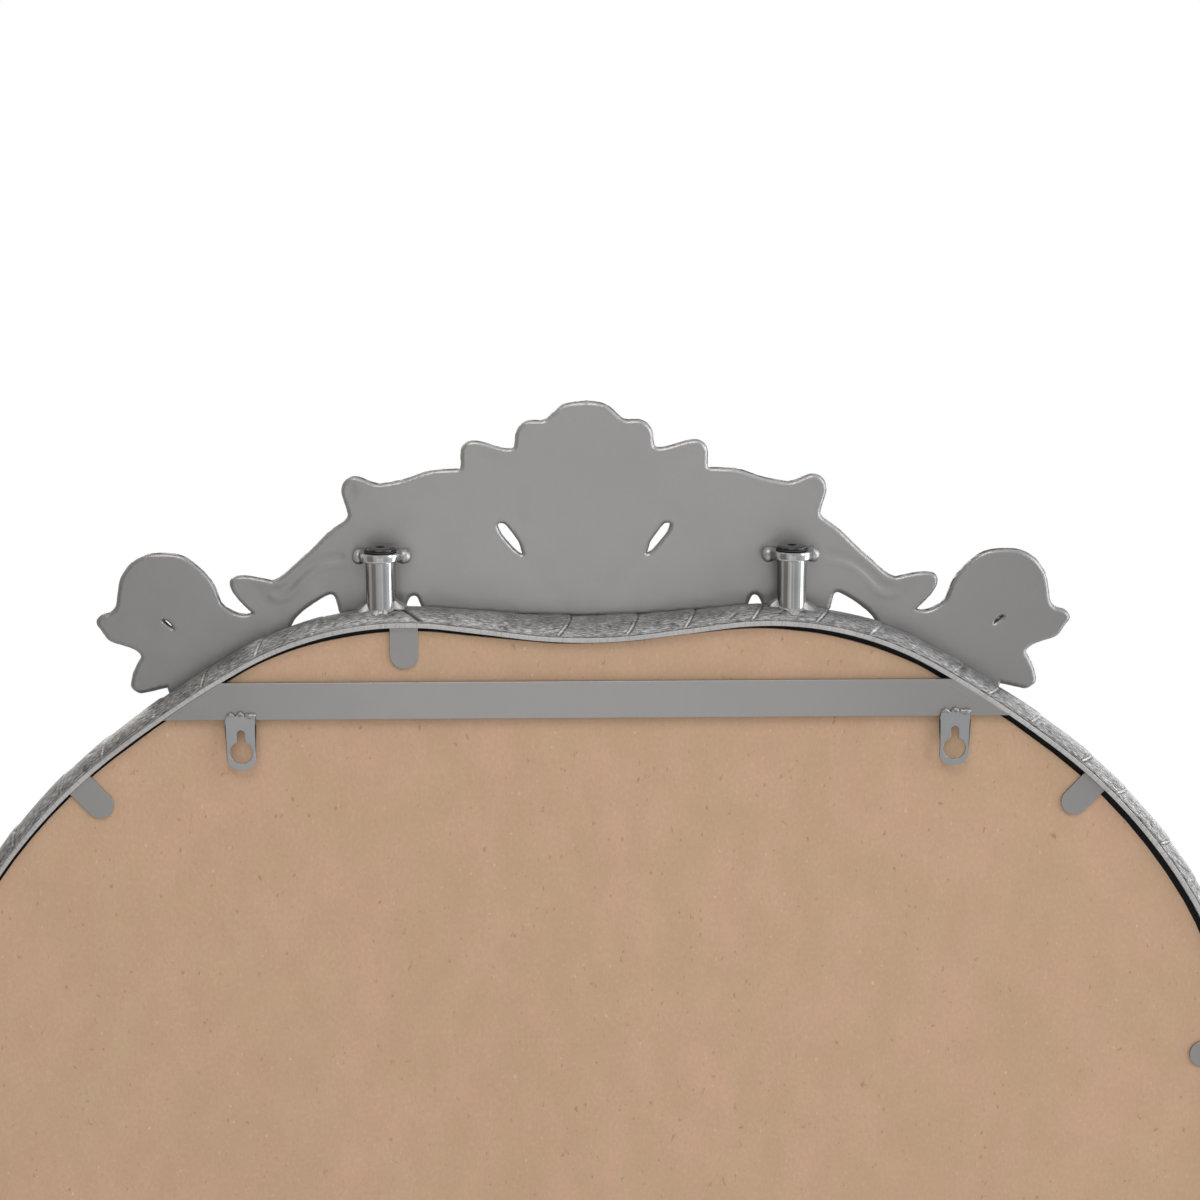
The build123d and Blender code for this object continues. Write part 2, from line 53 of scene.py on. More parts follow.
def vnoise(x, y, seed=1):
    """Smooth value noise, -1 to 1."""
    x = np.asarray(x, float); y = np.asarray(y, float)
    x, y = np.broadcast_arrays(x, y)
    ix, iy = np.floor(x), np.floor(y)
    fx, fy = x - ix, y - iy
    fx = fx * fx * fx * (fx * (fx * 6 - 15) + 10); fy = fy * fy * fy * (fy * (fy * 6 - 15) + 10)
    a = hash2(ix, iy, seed); b = hash2(ix + 1, iy, seed)
    c = hash2(ix, iy + 1, seed); d = hash2(ix + 1, iy + 1, seed)
    return (a * (1 - fx) + b * fx) * (1 - fy) + (c * (1 - fx) + d * fx) * fy


def fnoise(x, y, seed=1, octaves=3):
    out, amp = 0.0, 1.0
    for k in range(octaves):
        out = out + amp * vnoise(np.asarray(x) * 2 ** k, np.asarray(y) * 2 ** k, seed + 17 * k)
        amp *= 0.5
    return out / 1.75


def smooth(a, b, x):
    t = np.clip((np.asarray(x, float) - a) / (b - a), 0, 1)
    return t * t * (3 - 2 * t)


def make(name, verts, faces, body, mats, replaces=(), smooth_angle=40.0, face_mat=None, attrs=None, uv=None):
    """A mesh object from millimetre points; faces are quads or triangles."""
    me = bpy.data.meshes.new(name)
    me.from_pydata((np.asarray(verts, float) * MM).tolist(), [], [list(map(int, f)) for f in faces])
    finish_mesh(me, name, mats, smooth_angle, face_mat, attrs, uv)
    return add(name, me, body, replaces)


def finish_mesh(me, name, mats, smooth_angle=40.0, face_mat=None, attrs=None, uv=None):
    for m in mats:
        me.materials.append(m)
    me.polygons.foreach_set("use_smooth", np.ones(len(me.polygons), bool))
    if smooth_angle:
        me.set_sharp_from_angle(angle=radians(smooth_angle))
    if face_mat is not None:
        me.polygons.foreach_set("material_index", np.asarray(face_mat, np.int32))
    for k, v in (attrs or {}).items():
        at = me.attributes.new(k, "FLOAT", "POINT")
        at.data.foreach_set("value", np.asarray(v, np.float32))
    if uv is not None:
        lay = me.uv_layers.new(name="flow")
        lay.data.foreach_set("uv", np.asarray(uv, np.float32).ravel())
    me.update()


def add(name, me, body, replaces=()):
    o = bpy.data.objects.new(name, me)
    bpy.context.scene.collection.objects.link(o)
    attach(o, body)
    if replaces:
        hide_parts(*replaces)
    return o


def grid_faces(nu, nv, close_u=False, close_v=False, flip=False):
    """Quads of a grid of nu x nv points, index = i*nv + j."""
    i = np.arange(nu if close_u else nu - 1)[:, None]
    j = np.arange(nv if close_v else nv - 1)[None, :]
    i2, j2 = (i + 1) % nu, (j + 1) % nv
    f = np.stack([i * nv + j, i2 * nv + j, i2 * nv + j2, i * nv + j2], -1).reshape(-1, 4)
    return f[:, ::-1] if flip else f


def lathe(name, prof, cx, cy, body, mats, replaces=(), seg=72, wob=None, smooth_angle=35.0, shade=None):
    """Turned piece about Z. prof is a closed ring of (radius, z); wob(theta, r, z) adds to the radius."""
    prof = np.asarray(prof, float)
    th = np.linspace(0, 2 * pi, seg, endpoint=False)
    R = np.repeat(prof[None, :, 0], seg, 0); Z = np.repeat(prof[None, :, 1], seg, 0)
    T = np.repeat(th[:, None], len(prof), 1)
    if wob is not None:
        R = R + wob(T, R, Z)
    v = np.stack([cx + R * np.cos(T), cy + R * np.sin(T), Z], -1).reshape(-1, 3)
    f = grid_faces(seg, len(prof), close_u=True, close_v=True)
    at = {"cav": shade(T, R, Z).ravel()} if shade is not None else None
    return make(name, v, f, body, mats, replaces, smooth_angle, None, at)


def rounded(points, r, n=4):
    """Rounds each corner of a closed polygon by r."""
    P = np.asarray(points, float); out = []
    m = len(P)
    for k in range(m):
        a, b, c = P[k - 1], P[k], P[(k + 1) % m]
        u = a - b; w = c - b
        lu, lw = np.hypot(*u), np.hypot(*w)
        rr = min(r, lu * 0.45, lw * 0.45)
        p, q = b + u / lu * rr, b + w / lw * rr
        for t in np.linspace(0, 1, n + 1):
            out.append((1 - t) ** 2 * p + 2 * t * (1 - t) * b + t * t * q)
    return np.array(out)


def plate(name, loops, y_wall, y_glass, bevel, body, mats, replaces=(), shape=None, sub=0.0):
    """Flat plate with rounded edges between two Y planes, from outlines in (x, z); the first loop is the outside."""
    cu = bpy.data.curves.new(name + "_c", "CURVE")
    cu.dimensions = "2D"; cu.fill_mode = "BOTH"
    t = abs(y_wall - y_glass)
    cu.extrude = max(t / 2 - bevel, 0.001) * MM * 1000
    cu.bevel_depth = bevel * MM * 1000
    cu.bevel_resolution = 2
    cu.offset = -bevel * MM * 1000
    for lp in loops:
        sp = cu.splines.new("POLY")
        sp.points.add(len(lp) - 1)
        for k, (x, z) in enumerate(lp):
            sp.points[k].co = (x, z, 0, 1)
        sp.use_cyclic_u = True
    tmp = bpy.data.objects.new(name + "_t", cu)
    bpy.context.scene.collection.objects.link(tmp)
    bpy.context.view_layer.update()
    dg = bpy.context.evaluated_depsgraph_get()
    me = bpy.data.meshes.new_from_object(tmp.evaluated_get(dg))
    bpy.data.objects.remove(tmp); bpy.data.curves.remove(cu)
    n = len(me.vertices)
    co = np.zeros(n * 3); me.vertices.foreach_get("co", co); co = co.reshape(-1, 3)
    ym = (y_wall + y_glass) / 2
    new = np.stack([co[:, 0], ym + co[:, 2], co[:, 1]], -1)
    if shape is not None:
        new = shape(new)
    me.vertices.foreach_set("co", (new * MM).ravel())
    me.flip_normals()
    import bmesh
    bm = bmesh.new(); bm.from_mesh(me)
    bmesh.ops.remove_doubles(bm, verts=bm.verts, dist=0.00001)
    bmesh.ops.recalc_face_normals(bm, faces=bm.faces)
    bm.to_mesh(me); bm.free()
    me.materials.clear()
    finish_mesh(me, name, mats, 50.0)
    o = add(name, me, body, replaces)
    wn = o.modifiers.new("normals", "WEIGHTED_NORMAL")
    wn.keep_sharp = True; wn.weight = 90
    return o


def tube(path, radii, seg=18, per=5, squash=None, noise_amp=0.0, noise_scale=1.0, seed=3):
    """Points and faces of a closed rounded tube along a path, with a smooth change of radius."""
    P = np.asarray(path, float); R = np.asarray(radii, float)
    k = np.linspace(0, len(P) - 1, (len(P) - 1) * per + 1)
    i = np.clip(k.astype(int), 0, len(P) - 2); t = (k - i)[:, None]
    p0 = P[np.clip(i - 1, 0, len(P) - 1)]; p1 = P[i]; p2 = P[i + 1]; p3 = P[np.clip(i + 2, 0, len(P) - 1)]
    Q = 0.5 * ((2 * p1) + (-p0 + p2) * t + (2 * p0 - 5 * p1 + 4 * p2 - p3) * t ** 2 + (-p0 + 3 * p1 - 3 * p2 + p3) * t ** 3)
    rr = np.interp(k, np.arange(len(R)), R)
    T = np.gradient(Q, axis=0); T /= np.linalg.norm(T, axis=1)[:, None]
    # round the two ends
    def cap(c, d, r, first):
        ang = np.linspace(0, pi / 2, 6)[1:-1]
        pts = [c + d * r * sin(a) for a in ang]; rad = [r * cos(a) for a in ang]
        return (pts[::-1], rad[::-1]) if first else (pts, rad)
    a, ar = cap(Q[0], -T[0], rr[0], True); b, br = cap(Q[-1], T[-1], rr[-1], False)
    tip0, tip1 = Q[0] - T[0] * rr[0], Q[-1] + T[-1] * rr[-1]
    Q = np.vstack([a, Q, b]); rr = np.r_[ar, rr, br]
    T = np.vstack([np.repeat(T[:1], len(a), 0), T, np.repeat(T[-1:], len(b), 0)])
    ref = np.array([0.0, 1.0, 0.0]) if abs(T[0][1]) < 0.9 else np.array([0.0, 0.0, 1.0])
    V, N0 = [], None
    for q, tt, r in zip(Q, T, rr):
        n = ref - tt * (ref @ tt) if N0 is None else N0 - tt * (N0 @ tt)
        n /= np.linalg.norm(n); N0 = n
        bnorm = np.cross(tt, n)
        for s in range(seg):
            c = 2 * pi * s / seg
            off = n * cos(c) + bnorm * sin(c)
            p = q + off * r
            if noise_amp:
                g = vnoise(p[0] * noise_scale + p[1] * 0.7, p[2] * noise_scale + p[1] * 0.9, seed) + \
                    0.5 * vnoise(p[0] * noise_scale * 2.3 + 9, p[2] * noise_scale * 2.3 - p[1] * 1.7, seed + 5)
                p = p + off * float(g) * noise_amp
            V.append(p)
    if squash is not None:
        V = [squash(p) for p in V]
        tip0, tip1 = squash(tip0), squash(tip1)
    m = len(Q)
    F = grid_faces(m, seg, close_v=True).tolist()
    V.append(tip0); V.append(tip1)
    i0, i1 = m * seg, m * seg + 1
    F += [[i0, s, (s + 1) % seg] for s in range(seg)]
    F += [[i1, (m - 1) * seg + (s + 1) % seg, (m - 1) * seg + s] for s in range(seg)]
    return np.array(V), F


def join(parts):
    V, F, off = [], [], 0
    for v, f in parts:
        V.append(np.asarray(v)); F += [[int(q) + off for q in face] for face in f]; off += len(v)
    return np.vstack(V), F


def outward(o):
    """Makes a closed mesh's faces point outwards."""
    import bmesh
    bm = bmesh.new(); bm.from_mesh(o.data)
    bmesh.ops.recalc_face_normals(bm, faces=bm.faces)
    bm.to_mesh(o.data); bm.free()


# ================================================================ materials
class Mat:
    def __init__(self, name, **kw):
        self.m = bpy.data.materials.new(name)
        self.m.use_nodes = True
        self.nt = self.m.node_tree
        self.b = self.nt.nodes["Principled BSDF"]
        for k, v in kw.items():
            self.b.inputs[k].default_value = v

    def n(self, kind, **kw):
        x = self.nt.nodes.new(kind)
        for k, v in kw.items():
            setattr(x, k, v)
        return x

    def link(self, a, b):
        self.nt.links.new(a, b)

    def vec(self, scale=(1, 1, 1), uv=None, rot=(0, 0, 0)):
        if uv:
            t = self.n("ShaderNodeUVMap", uv_map=uv).outputs[0]
        else:
            t = self.n("ShaderNodeTexCoord").outputs["Object"]
        mp = self.n("ShaderNodeMapping")
        mp.inputs["Scale"].default_value = scale
        mp.inputs["Rotation"].default_value = rot
        self.link(t, mp.inputs["Vector"])
        return mp.outputs[0]

    def noise(self, vec, scale, detail=4.0, rough=0.55, dist=0.0):
        x = self.n("ShaderNodeTexNoise")
        x.inputs["Scale"].default_value = scale
        x.inputs["Detail"].default_value = detail
        x.inputs["Roughness"].default_value = rough
        x.inputs["Distortion"].default_value = dist
        self.link(vec, x.inputs["Vector"])
        return x.outputs["Fac"]

    def voronoi(self, vec, scale, feature="F1", out="Distance", rnd=1.0):
        x = self.n("ShaderNodeTexVoronoi", feature=feature)
        x.inputs["Scale"].default_value = scale
        x.inputs["Randomness"].default_value = rnd
        self.link(vec, x.inputs["Vector"])
        return x.outputs[out]

    def ramp(self, fac, stops, interp="LINEAR"):
        x = self.n("ShaderNodeValToRGB")
        x.color_ramp.interpolation = interp
        el = x.color_ramp.elements
        while len(el) < len(stops):
            el.new(0.5)
        for e, (p, c) in zip(el, stops):
            e.position = p
            e.color = (c, c, c, 1) if isinstance(c, (int, float)) else (*c, 1)
        self.link(fac, x.inputs["Fac"])
        return x.outputs["Color"]

    def rng(self, v, a, b, c, d):
        x = self.n("ShaderNodeMapRange")
        for k, q in zip(("From Min", "From Max", "To Min", "To Max"), (a, b, c, d)):
            x.inputs[k].default_value = q
        self.link(v, x.inputs["Value"])
        return x.outputs[0]

    def math(self, op, a, b=None):
        x = self.n("ShaderNodeMath", operation=op)
        for k, v in enumerate((a, b)):
            if v is None:
                continue
            if isinstance(v, (int, float)):
                x.inputs[k].default_value = v
            else:
                self.link(v, x.inputs[k])
        return x.outputs[0]

    def mix(self, fac, a, b, mode="MIX"):
        x = self.n("ShaderNodeMix", data_type="RGBA", blend_type=mode)
        for k, v in ((0, fac), (6, a), (7, b)):
            if isinstance(v, (int, float)) and k == 0:
                x.inputs[k].default_value = v
            elif isinstance(v, tuple):
                x.inputs[k].default_value = (*v, 1)
            else:
                self.link(v, x.inputs[k])
        return x.outputs[2]

    def attr(self, name):
        return self.n("ShaderNodeAttribute", attribute_name=name).outputs["Fac"]

    def color(self, c):
        self.link(c, self.b.inputs["Base Color"])

    def rough(self, c):
        self.link(c, self.b.inputs["Roughness"])

    def bump(self, h, dist, strength=1.0, prev=None):
        x = self.n("ShaderNodeBump")
        x.inputs["Strength"].default_value = strength
        x.inputs["Distance"].default_value = dist
        self.link(h, x.inputs["Height"])
        if prev is not None:
            self.link(prev, x.inputs["Normal"])
        self.link(x.outputs[0], self.b.inputs["Normal"])
        return x.outputs[0]


def satin_grey(name, base, rough=0.42, metallic=0.75, grain=900.0, var=0.06, painted_light_pool=False):
    """Satin grey finish over metal: fine cast or rolled grain, broad soft mottling."""
    m = Mat(name, Metallic=metallic)
    v = m.vec()
    broad = m.noise(v, 9.0, 3, 0.5)
    fine = m.noise(v, grain, 3, 0.6)
    lo = tuple(c * (1 - var) for c in base); hi = tuple(c * (1 + var) for c in base)
    c1 = m.mix(m.rng(broad, 0.3, 0.7, 0, 1), lo, hi)
    c2 = m.mix(m.rng(fine, 0.35, 0.65, 0.0, 0.10), c1, tuple(c * 0.72 for c in base))
    if painted_light_pool:
        # painted pool of light: paler over the middle, with painted shade heavier towards the ends
        far = m.n("ShaderNodeVectorMath", operation="LENGTH")
        m.link(m.vec((1.0, 0.0, 0.55)), far.inputs[0])
        c2 = m.mix(m.rng(far.outputs["Value"], 0.05, 0.30, 0.34, 0.0), c2, tuple(c * 1.42 for c in base))
        c2 = m.mix(m.rng(far.outputs["Value"], 0.12, 0.28, 0.0, 0.60), c2, tuple(c * 0.74 for c in base))
    m.color(c2)
    m.rough(m.rng(m.noise(v, 60.0, 4, 0.6), 0.3, 0.7, rough - 0.05, rough + 0.06))
    b = m.bump(fine, 0.00003, 0.35)
    m.bump(m.noise(v, 140.0, 3, 0.5), 0.00006, 0.25, b)
    return m.m


def antique_silver(name, uv=None, cav=True, tone=1.0):
    """Antique silver: bright worn highs and painted highlights on lit walls, dark wax left in the hollows, fine
    streaks along the length.
    """
    m = Mat(name, Metallic=0.72)
    v = m.vec()
    if uv:
        f1 = m.noise(m.vec((250.0, 1800.0, 1.0), uv=uv), 1.0, 4, 0.68)
        f2 = m.noise(m.vec((80.0, 3000.0, 1.0), uv=uv), 1.0, 3, 0.7)
    else:
        f1 = m.noise(m.vec((160.0, 160.0, 420.0)), 1.0, 5, 0.65)
        f2 = m.noise(m.vec((500.0, 500.0, 1100.0)), 1.0, 4, 0.7)
    mott = m.noise(v, 75.0, 5, 0.62, 0.3)
    spots = m.noise(v, 420.0, 3, 0.7)
    base = m.ramp(m.math("ADD", m.math("MULTIPLY", f1, 0.78), m.math("MULTIPLY", mott, 0.22)),
                  [(0.38, tuple(tone * q for q in (0.095, 0.091, 0.088))), (0.46, tuple(tone * q for q in (0.205, 0.198, 0.193))),
                   (0.53, tuple(tone * q for q in (0.345, 0.336, 0.329))), (0.61, tuple(tone * q for q in (0.60, 0.588, 0.575)))])
    c = m.mix(m.rng(f2, 0.36, 0.47, 0.6, 0.0), base, (0.06, 0.057, 0.054))
    c = m.mix(m.rng(spots, 0.30, 0.38, 0.7, 0.0), c, (0.035, 0.033, 0.031))
    if cav:
        k = m.attr("cav")
        c = m.mix(m.rng(m.math("ADD", k, m.math("MULTIPLY", mott, 0.25)), 0.25, 0.95, 0.0, 0.88), c, (0.030, 0.028, 0.026))
        # 'high' brightens worn tops, and on the moulding also paints highlights on walls facing the side light
        h = m.attr("high")
        c = m.mix(m.rng(h, 0.2, 1.0, 0.0, 0.55), c, tuple(tone * q for q in (0.66, 0.65, 0.635)))
    m.color(c)
    m.rough(m.rng(mott, 0.3, 0.7, 0.38, 0.56))
    b = m.bump(f1, 0.00022, 0.6)
    b = m.bump(f2, 0.00010, 0.5, b)
    m.bump(spots, 0.00008, 0.5, b)
    return m.m


def make_materials():
    M = {}
    # the crest's back and the crossbar take the painted pool of light
    M["crest_back"] = satin_grey("satin_grey_casting", (0.300, 0.290, 0.284), 0.36, 0.66, 700.0, 0.04, painted_light_pool=True)
    M["bar"] = satin_grey("satin_grey_steel", (0.292, 0.282, 0.276), 0.34, 0.68, 1300.0, 0.03, painted_light_pool=True)
    M["tab"] = satin_grey("satin_grey_tab_steel", (0.285, 0.276, 0.270), 0.34, 0.68, 1300.0, 0.03)
    M["hanger"] = satin_grey("stamped_grey_steel", (0.315, 0.315, 0.317), 0.36, 0.78, 1100.0, 0.06)
    M["frame"] = antique_silver("antique_silver_moulding", uv="flow", tone=0.92)
    M["crest_front"] = antique_silver("antique_silver_casting", tone=0.95)

    # rim strip: smooth pale metal with a fine speckle
    m = Mat("pale_rim_metal", Metallic=0.7)
    v = m.vec()
    sp = m.noise(v, 1500.0, 2, 0.6); br = m.noise(v, 38.0, 4, 0.6)
    c = m.mix(m.rng(br, 0.3, 0.7, 0, 1), (0.43, 0.421, 0.414), (0.55, 0.54, 0.532))
    tick = m.noise(m.vec((900.0, 160.0, 1.0), uv="flow"), 1.0, 3, 0.6)
    c = m.mix(m.rng(tick, 0.34, 0.50, 0.5, 0.0), c, (0.25, 0.243, 0.238))
    c = m.mix(m.rng(sp, 0.38, 0.50, 0.35, 0.0), c, (0.27, 0.262, 0.255))
    m.color(c); m.rough(m.rng(br, 0.3, 0.7, 0.42, 0.58)); m.bump(sp, 0.00006, 0.5)
    M["rim"] = m.m

    # bare fibreboard
    m = Mat("tan_fibreboard", Roughness=0.86)
    m.b.inputs["Specular IOR Level"].default_value = 0.25
    v = m.vec((1.0, 1.0, 0.62))
    broad = m.noise(v, 6.0, 4, 0.55); mid = m.noise(v, 55.0, 4, 0.6)
    tint = m.noise(v, 26.0, 3, 0.5, 0.4)
    fine = m.noise(v, 520.0, 4, 0.7); fl = m.noise(m.vec((330.0, 330.0, 190.0)), 1.0, 2, 0.5)
    pale = m.noise(m.vec((260.0, 260.0, 170.0), rot=(0.0, 0.35, 0.0)), 1.0, 2, 0.5)
    c = m.mix(m.rng(broad, 0.3, 0.7, 0, 1), (0.488, 0.322, 0.209), (0.532, 0.358, 0.238))
    c = m.mix(m.rng(tint, 0.38, 0.62, 0.0, 0.55), c, (0.540, 0.340, 0.236))
    c = m.mix(m.rng(tint, 0.62, 0.40, 0.0, 0.35), c, (0.480, 0.345, 0.214))
    c = m.mix(m.rng(mid, 0.38, 0.62, 0.30, 0.0), c, (0.430, 0.278, 0.176))
    c = m.mix(m.rng(fine, 0.34, 0.60, 0.26, 0.0), c, (0.375, 0.235, 0.145))
    c = m.mix(m.rng(fine, 0.60, 0.74, 0.0, 0.30), c, (0.64, 0.475, 0.345))
    c = m.mix(m.rng(pale, 0.70, 0.76, 0.0, 0.55), c, (0.66, 0.50, 0.37))
    c = m.mix(m.rng(fl, 0.69, 0.76, 0.0, 0.55), c, (0.27, 0.150, 0.088))
    m.color(c)
    b = m.bump(fine, 0.00005, 0.5); m.bump(mid, 0.0001, 0.15, b)
    M["board"] = m.m

    m = Mat("black_foam_strip", Roughness=0.9)
    m.b.inputs["Specular IOR Level"].default_value = 0.2
    v = m.vec(); pores = m.voronoi(v, 1600.0)
    m.color(m.mix(m.rng(pores, 0.1, 0.5, 0.0, 1.0), (0.004, 0.004, 0.004), (0.014, 0.014, 0.015)))
    m.bump(pores, 0.0001, 0.6)
    M["foam"] = m.m

    m = Mat("looking_glass", Metallic=1.0)
    m.b.inputs["Coat Weight"].default_value = 0.35
    m.b.inputs["Coat Roughness"].default_value = 0.01
    v = m.vec(); haze = m.noise(v, 3.0, 3, 0.5)
    m.color(m.mix(m.rng(haze, 0.3, 0.7, 0, 1), (0.865, 0.885, 0.885), (0.885, 0.90, 0.90)))
    m.rough(m.rng(m.noise(v, 18.0, 4, 0.6), 0.35, 0.7, 0.006, 0.016))
    M["mirror"] = m.m

    # turned posts: bright, with fine upright draw marks
    m = Mat("turned_bright_steel", Metallic=1.0)
    dr = m.noise(m.vec((2600.0, 2600.0, 26.0)), 1.0, 3, 0.6); br = m.noise(m.vec(), 60.0, 3, 0.5)
    c = m.mix(m.rng(br, 0.3, 0.7, 0, 1), (0.405, 0.398, 0.394), (0.455, 0.448, 0.444))
    c = m.mix(m.rng(dr, 0.36, 0.46, 0.16, 0.0), c, (0.25, 0.243, 0.238))
    # painted dark reflection bands on the posts, carried in the 'cav' attribute
    c = m.mix(m.attr("cav"), c, (0.085, 0.082, 0.080))
    m.color(c); m.rough(m.rng(br, 0.3, 0.7, 0.10, 0.15)); m.bump(dr, 0.000012, 0.3)
    M["turned"] = m.m

    m = Mat("turned_bright_flange", Metallic=1.0)
    v = m.vec(); br = m.noise(v, 90.0, 3, 0.5); ring = m.noise(m.vec((120, 120, 3000)), 1.0, 3, 0.6)
    c = m.mix(m.rng(br, 0.3, 0.7, 0, 1), (0.43, 0.423, 0.419), (0.50, 0.492, 0.487))
    # painted dark reflection on the flange's outer rim, carried in the 'cav' attribute
    c = m.mix(m.attr("cav"), c, (0.085, 0.082, 0.080))
    m.color(m.mix(m.rng(ring, 0.36, 0.46, 0.14, 0.0), c, (0.26, 0.253, 0.248)))
    m.rough(m.rng(br, 0.3, 0.7, 0.11, 0.17)); m.bump(ring, 0.00001, 0.3)
    M["flange"] = m.m

    # rough weld metal
    m = Mat("rough_weld_metal", Metallic=0.85)
    v = m.vec(); w1 = m.noise(v, 420.0, 5, 0.65, 0.4); w2 = m.noise(v, 1500.0, 3, 0.7)
    c = m.ramp(w1, [(0.30, (0.24, 0.233, 0.228)), (0.44, (0.33, 0.322, 0.316)), (0.56, (0.41, 0.402, 0.395)), (0.68, (0.52, 0.512, 0.503))])
    c = m.mix(m.rng(w2, 0.34, 0.42, 0.35, 0.0), c, (0.10, 0.096, 0.092))
    # painted shade carried in the 'cav' attribute: near black where the weld meets the crest and beside the post
    c = m.mix(m.attr("cav"), c, (0.018, 0.017, 0.016))
    m.color(c); m.rough(m.rng(w1, 0.3, 0.7, 0.30, 0.48))
    b = m.bump(w1, 0.00020, 0.6); m.bump(w2, 0.00006, 0.4, b)
    M["weld"] = m.m

    # weld painted over with the grey
    m = Mat("painted_weld", Metallic=0.75)
    v = m.vec(); w1 = m.noise(v, 500.0, 4, 0.6, 0.2)
    m.color(m.mix(m.rng(w1, 0.3, 0.7, 0, 1), (0.225, 0.22, 0.218), (0.36, 0.355, 0.352)))
    m.rough(m.rng(w1, 0.3, 0.7, 0.32, 0.44)); m.bump(w1, 0.0002, 0.5)
    M["weld_grey"] = m.m

    # weld at the posts' feet: pale, dragged flat
    m = Mat("pale_dragged_weld", Metallic=0.7)
    v = m.vec(); w1 = m.noise(v, 260.0, 4, 0.6, 0.3); w2 = m.noise(v, 1300.0, 3, 0.6)
    c = m.mix(m.rng(w1, 0.3, 0.7, 0, 1), (0.25, 0.243, 0.238), (0.38, 0.372, 0.365))
    c = m.mix(m.rng(w2, 0.34, 0.46, 0.4, 0.0), c, (0.16, 0.154, 0.150))
    # painted contact shade carried in the 'cav' attribute, near black at the weld's foot
    c = m.mix(m.attr("cav"), c, (0.020, 0.019, 0.018))
    m.color(c); m.rough(m.rng(w1, 0.3, 0.7, 0.34, 0.48)); m.bump(w1, 0.00012, 0.5)
    M["foot_weld"] = m.m

    m = Mat("gloss_black_screw", Metallic=0.0)
    m.b.inputs["Coat Weight"].default_value = 0.25
    m.b.inputs["Coat Roughness"].default_value = 0.05
    v = m.vec(); w1 = m.noise(v, 700.0, 4, 0.6)
    m.color(m.mix(m.rng(w1, 0.3, 0.7, 0, 1), (0.004, 0.004, 0.004), (0.010, 0.010, 0.011)))
    m.rough(m.rng(w1, 0.3, 0.7, 0.10, 0.20)); m.bump(w1, 0.00004, 0.4)
    M["screw"] = m.m

    m = Mat("black_rubber", Roughness=0.62)
    v = m.vec(); w1 = m.noise(v, 1400.0, 3, 0.6)
    m.color(m.mix(m.rng(w1, 0.3, 0.7, 0, 1), (0.008, 0.008, 0.008), (0.020, 0.020, 0.021)))
    m.bump(w1, 0.00005, 0.5)
    M["rubber"] = m.m
    return M


M = make_materials()


# ================================================================ the frame's outline
dip_z, dip_r, dip_a, dip_run = 62.5, 296.0, 7.4, 41.0
hump_r = 187.0
arch_arcs = [(187.0, 29.9), (650.0, 37.8), (334.0, 58.8), (200.0, 90.0)]
bottom_z, corner_r = -1525.4, 30.0
seat_n, seat_dip_z, seat_dip_r = 6.0, 72.4, 620.0


def half_path():
    th = radians(dip_a)
    segs = []
    c1 = dip_z + dip_r
    segs.append((dip_r * th, lambda u: (dip_r * sin(u / dip_r), c1 - dip_r * cos(u / dip_r), -sin(u / dip_r), cos(u / dip_r))))
    x1, z1 = dip_r * sin(th), c1 - dip_r * cos(th)
    segs.append((dip_run, lambda u: (x1 + u * cos(th), z1 + u * sin(th), -sin(th), cos(th))))
    x2, z2 = x1 + dip_run * cos(th), z1 + dip_run * sin(th)
    cx, cz = x2 + hump_r * sin(th), z2 - hump_r * cos(th)
    hump = (cx, cz)
    h, rad = -th, hump_r
    for r, a in arch_arcs:
        cx, cz = cx + (rad - r) * sin(h), cz + (rad - r) * cos(h)
        rad = r
        h2 = radians(a)
        segs.append((r * (h2 - h), lambda u, cx=cx, cz=cz, r=r, h=h: (cx + r * sin(h + u / r), cz + r * cos(h + u / r), sin(h + u / r), cos(h + u / r))))
        h = h2
    xe, ze = cx + rad, cz
    yb = bottom_z + corner_r
    segs.append((ze - yb, lambda u: (xe, ze - u, 1.0, 0.0)))
    ccx = xe - corner_r
    segs.append((corner_r * pi / 2, lambda u: (ccx + corner_r * cos(u / corner_r), yb - corner_r * sin(u / corner_r), cos(u / corner_r), -sin(u / corner_r))))
    segs.append((ccx, lambda u: (ccx - u, bottom_z, 0.0, -1.0)))
    return segs, hump


def loop_stations(ds):
    """Closed loop of (x, z, nx, nz, s): s is 0 at the top centre, negative on the +X side."""
    segs, hump = half_path()
    L = sum(q[0] for q in segs)
    fine = min(ds, 0.75)
    n1, n2 = int(round(470.0 / fine)), int(round((L - 470.0) / ds))
    run = np.r_[np.linspace(0, 470.0, n1 + 1)[:-1], np.linspace(470.0, L, n2 + 1)]
    half = []
    for s in run:
        acc = 0.0
        for k, (l, f) in enumerate(segs):
            if s <= acc + l or k == len(segs) - 1:
                half.append(f(min(s - acc, l)) + (s,))
                break
            acc += l
    half = np.array(half)
    left = half[::-1] * [1, 1, 1, 1, -1]
    right = half[1:-1] * [-1, 1, -1, 1, 1]
    return np.vstack([left, right]), L, hump


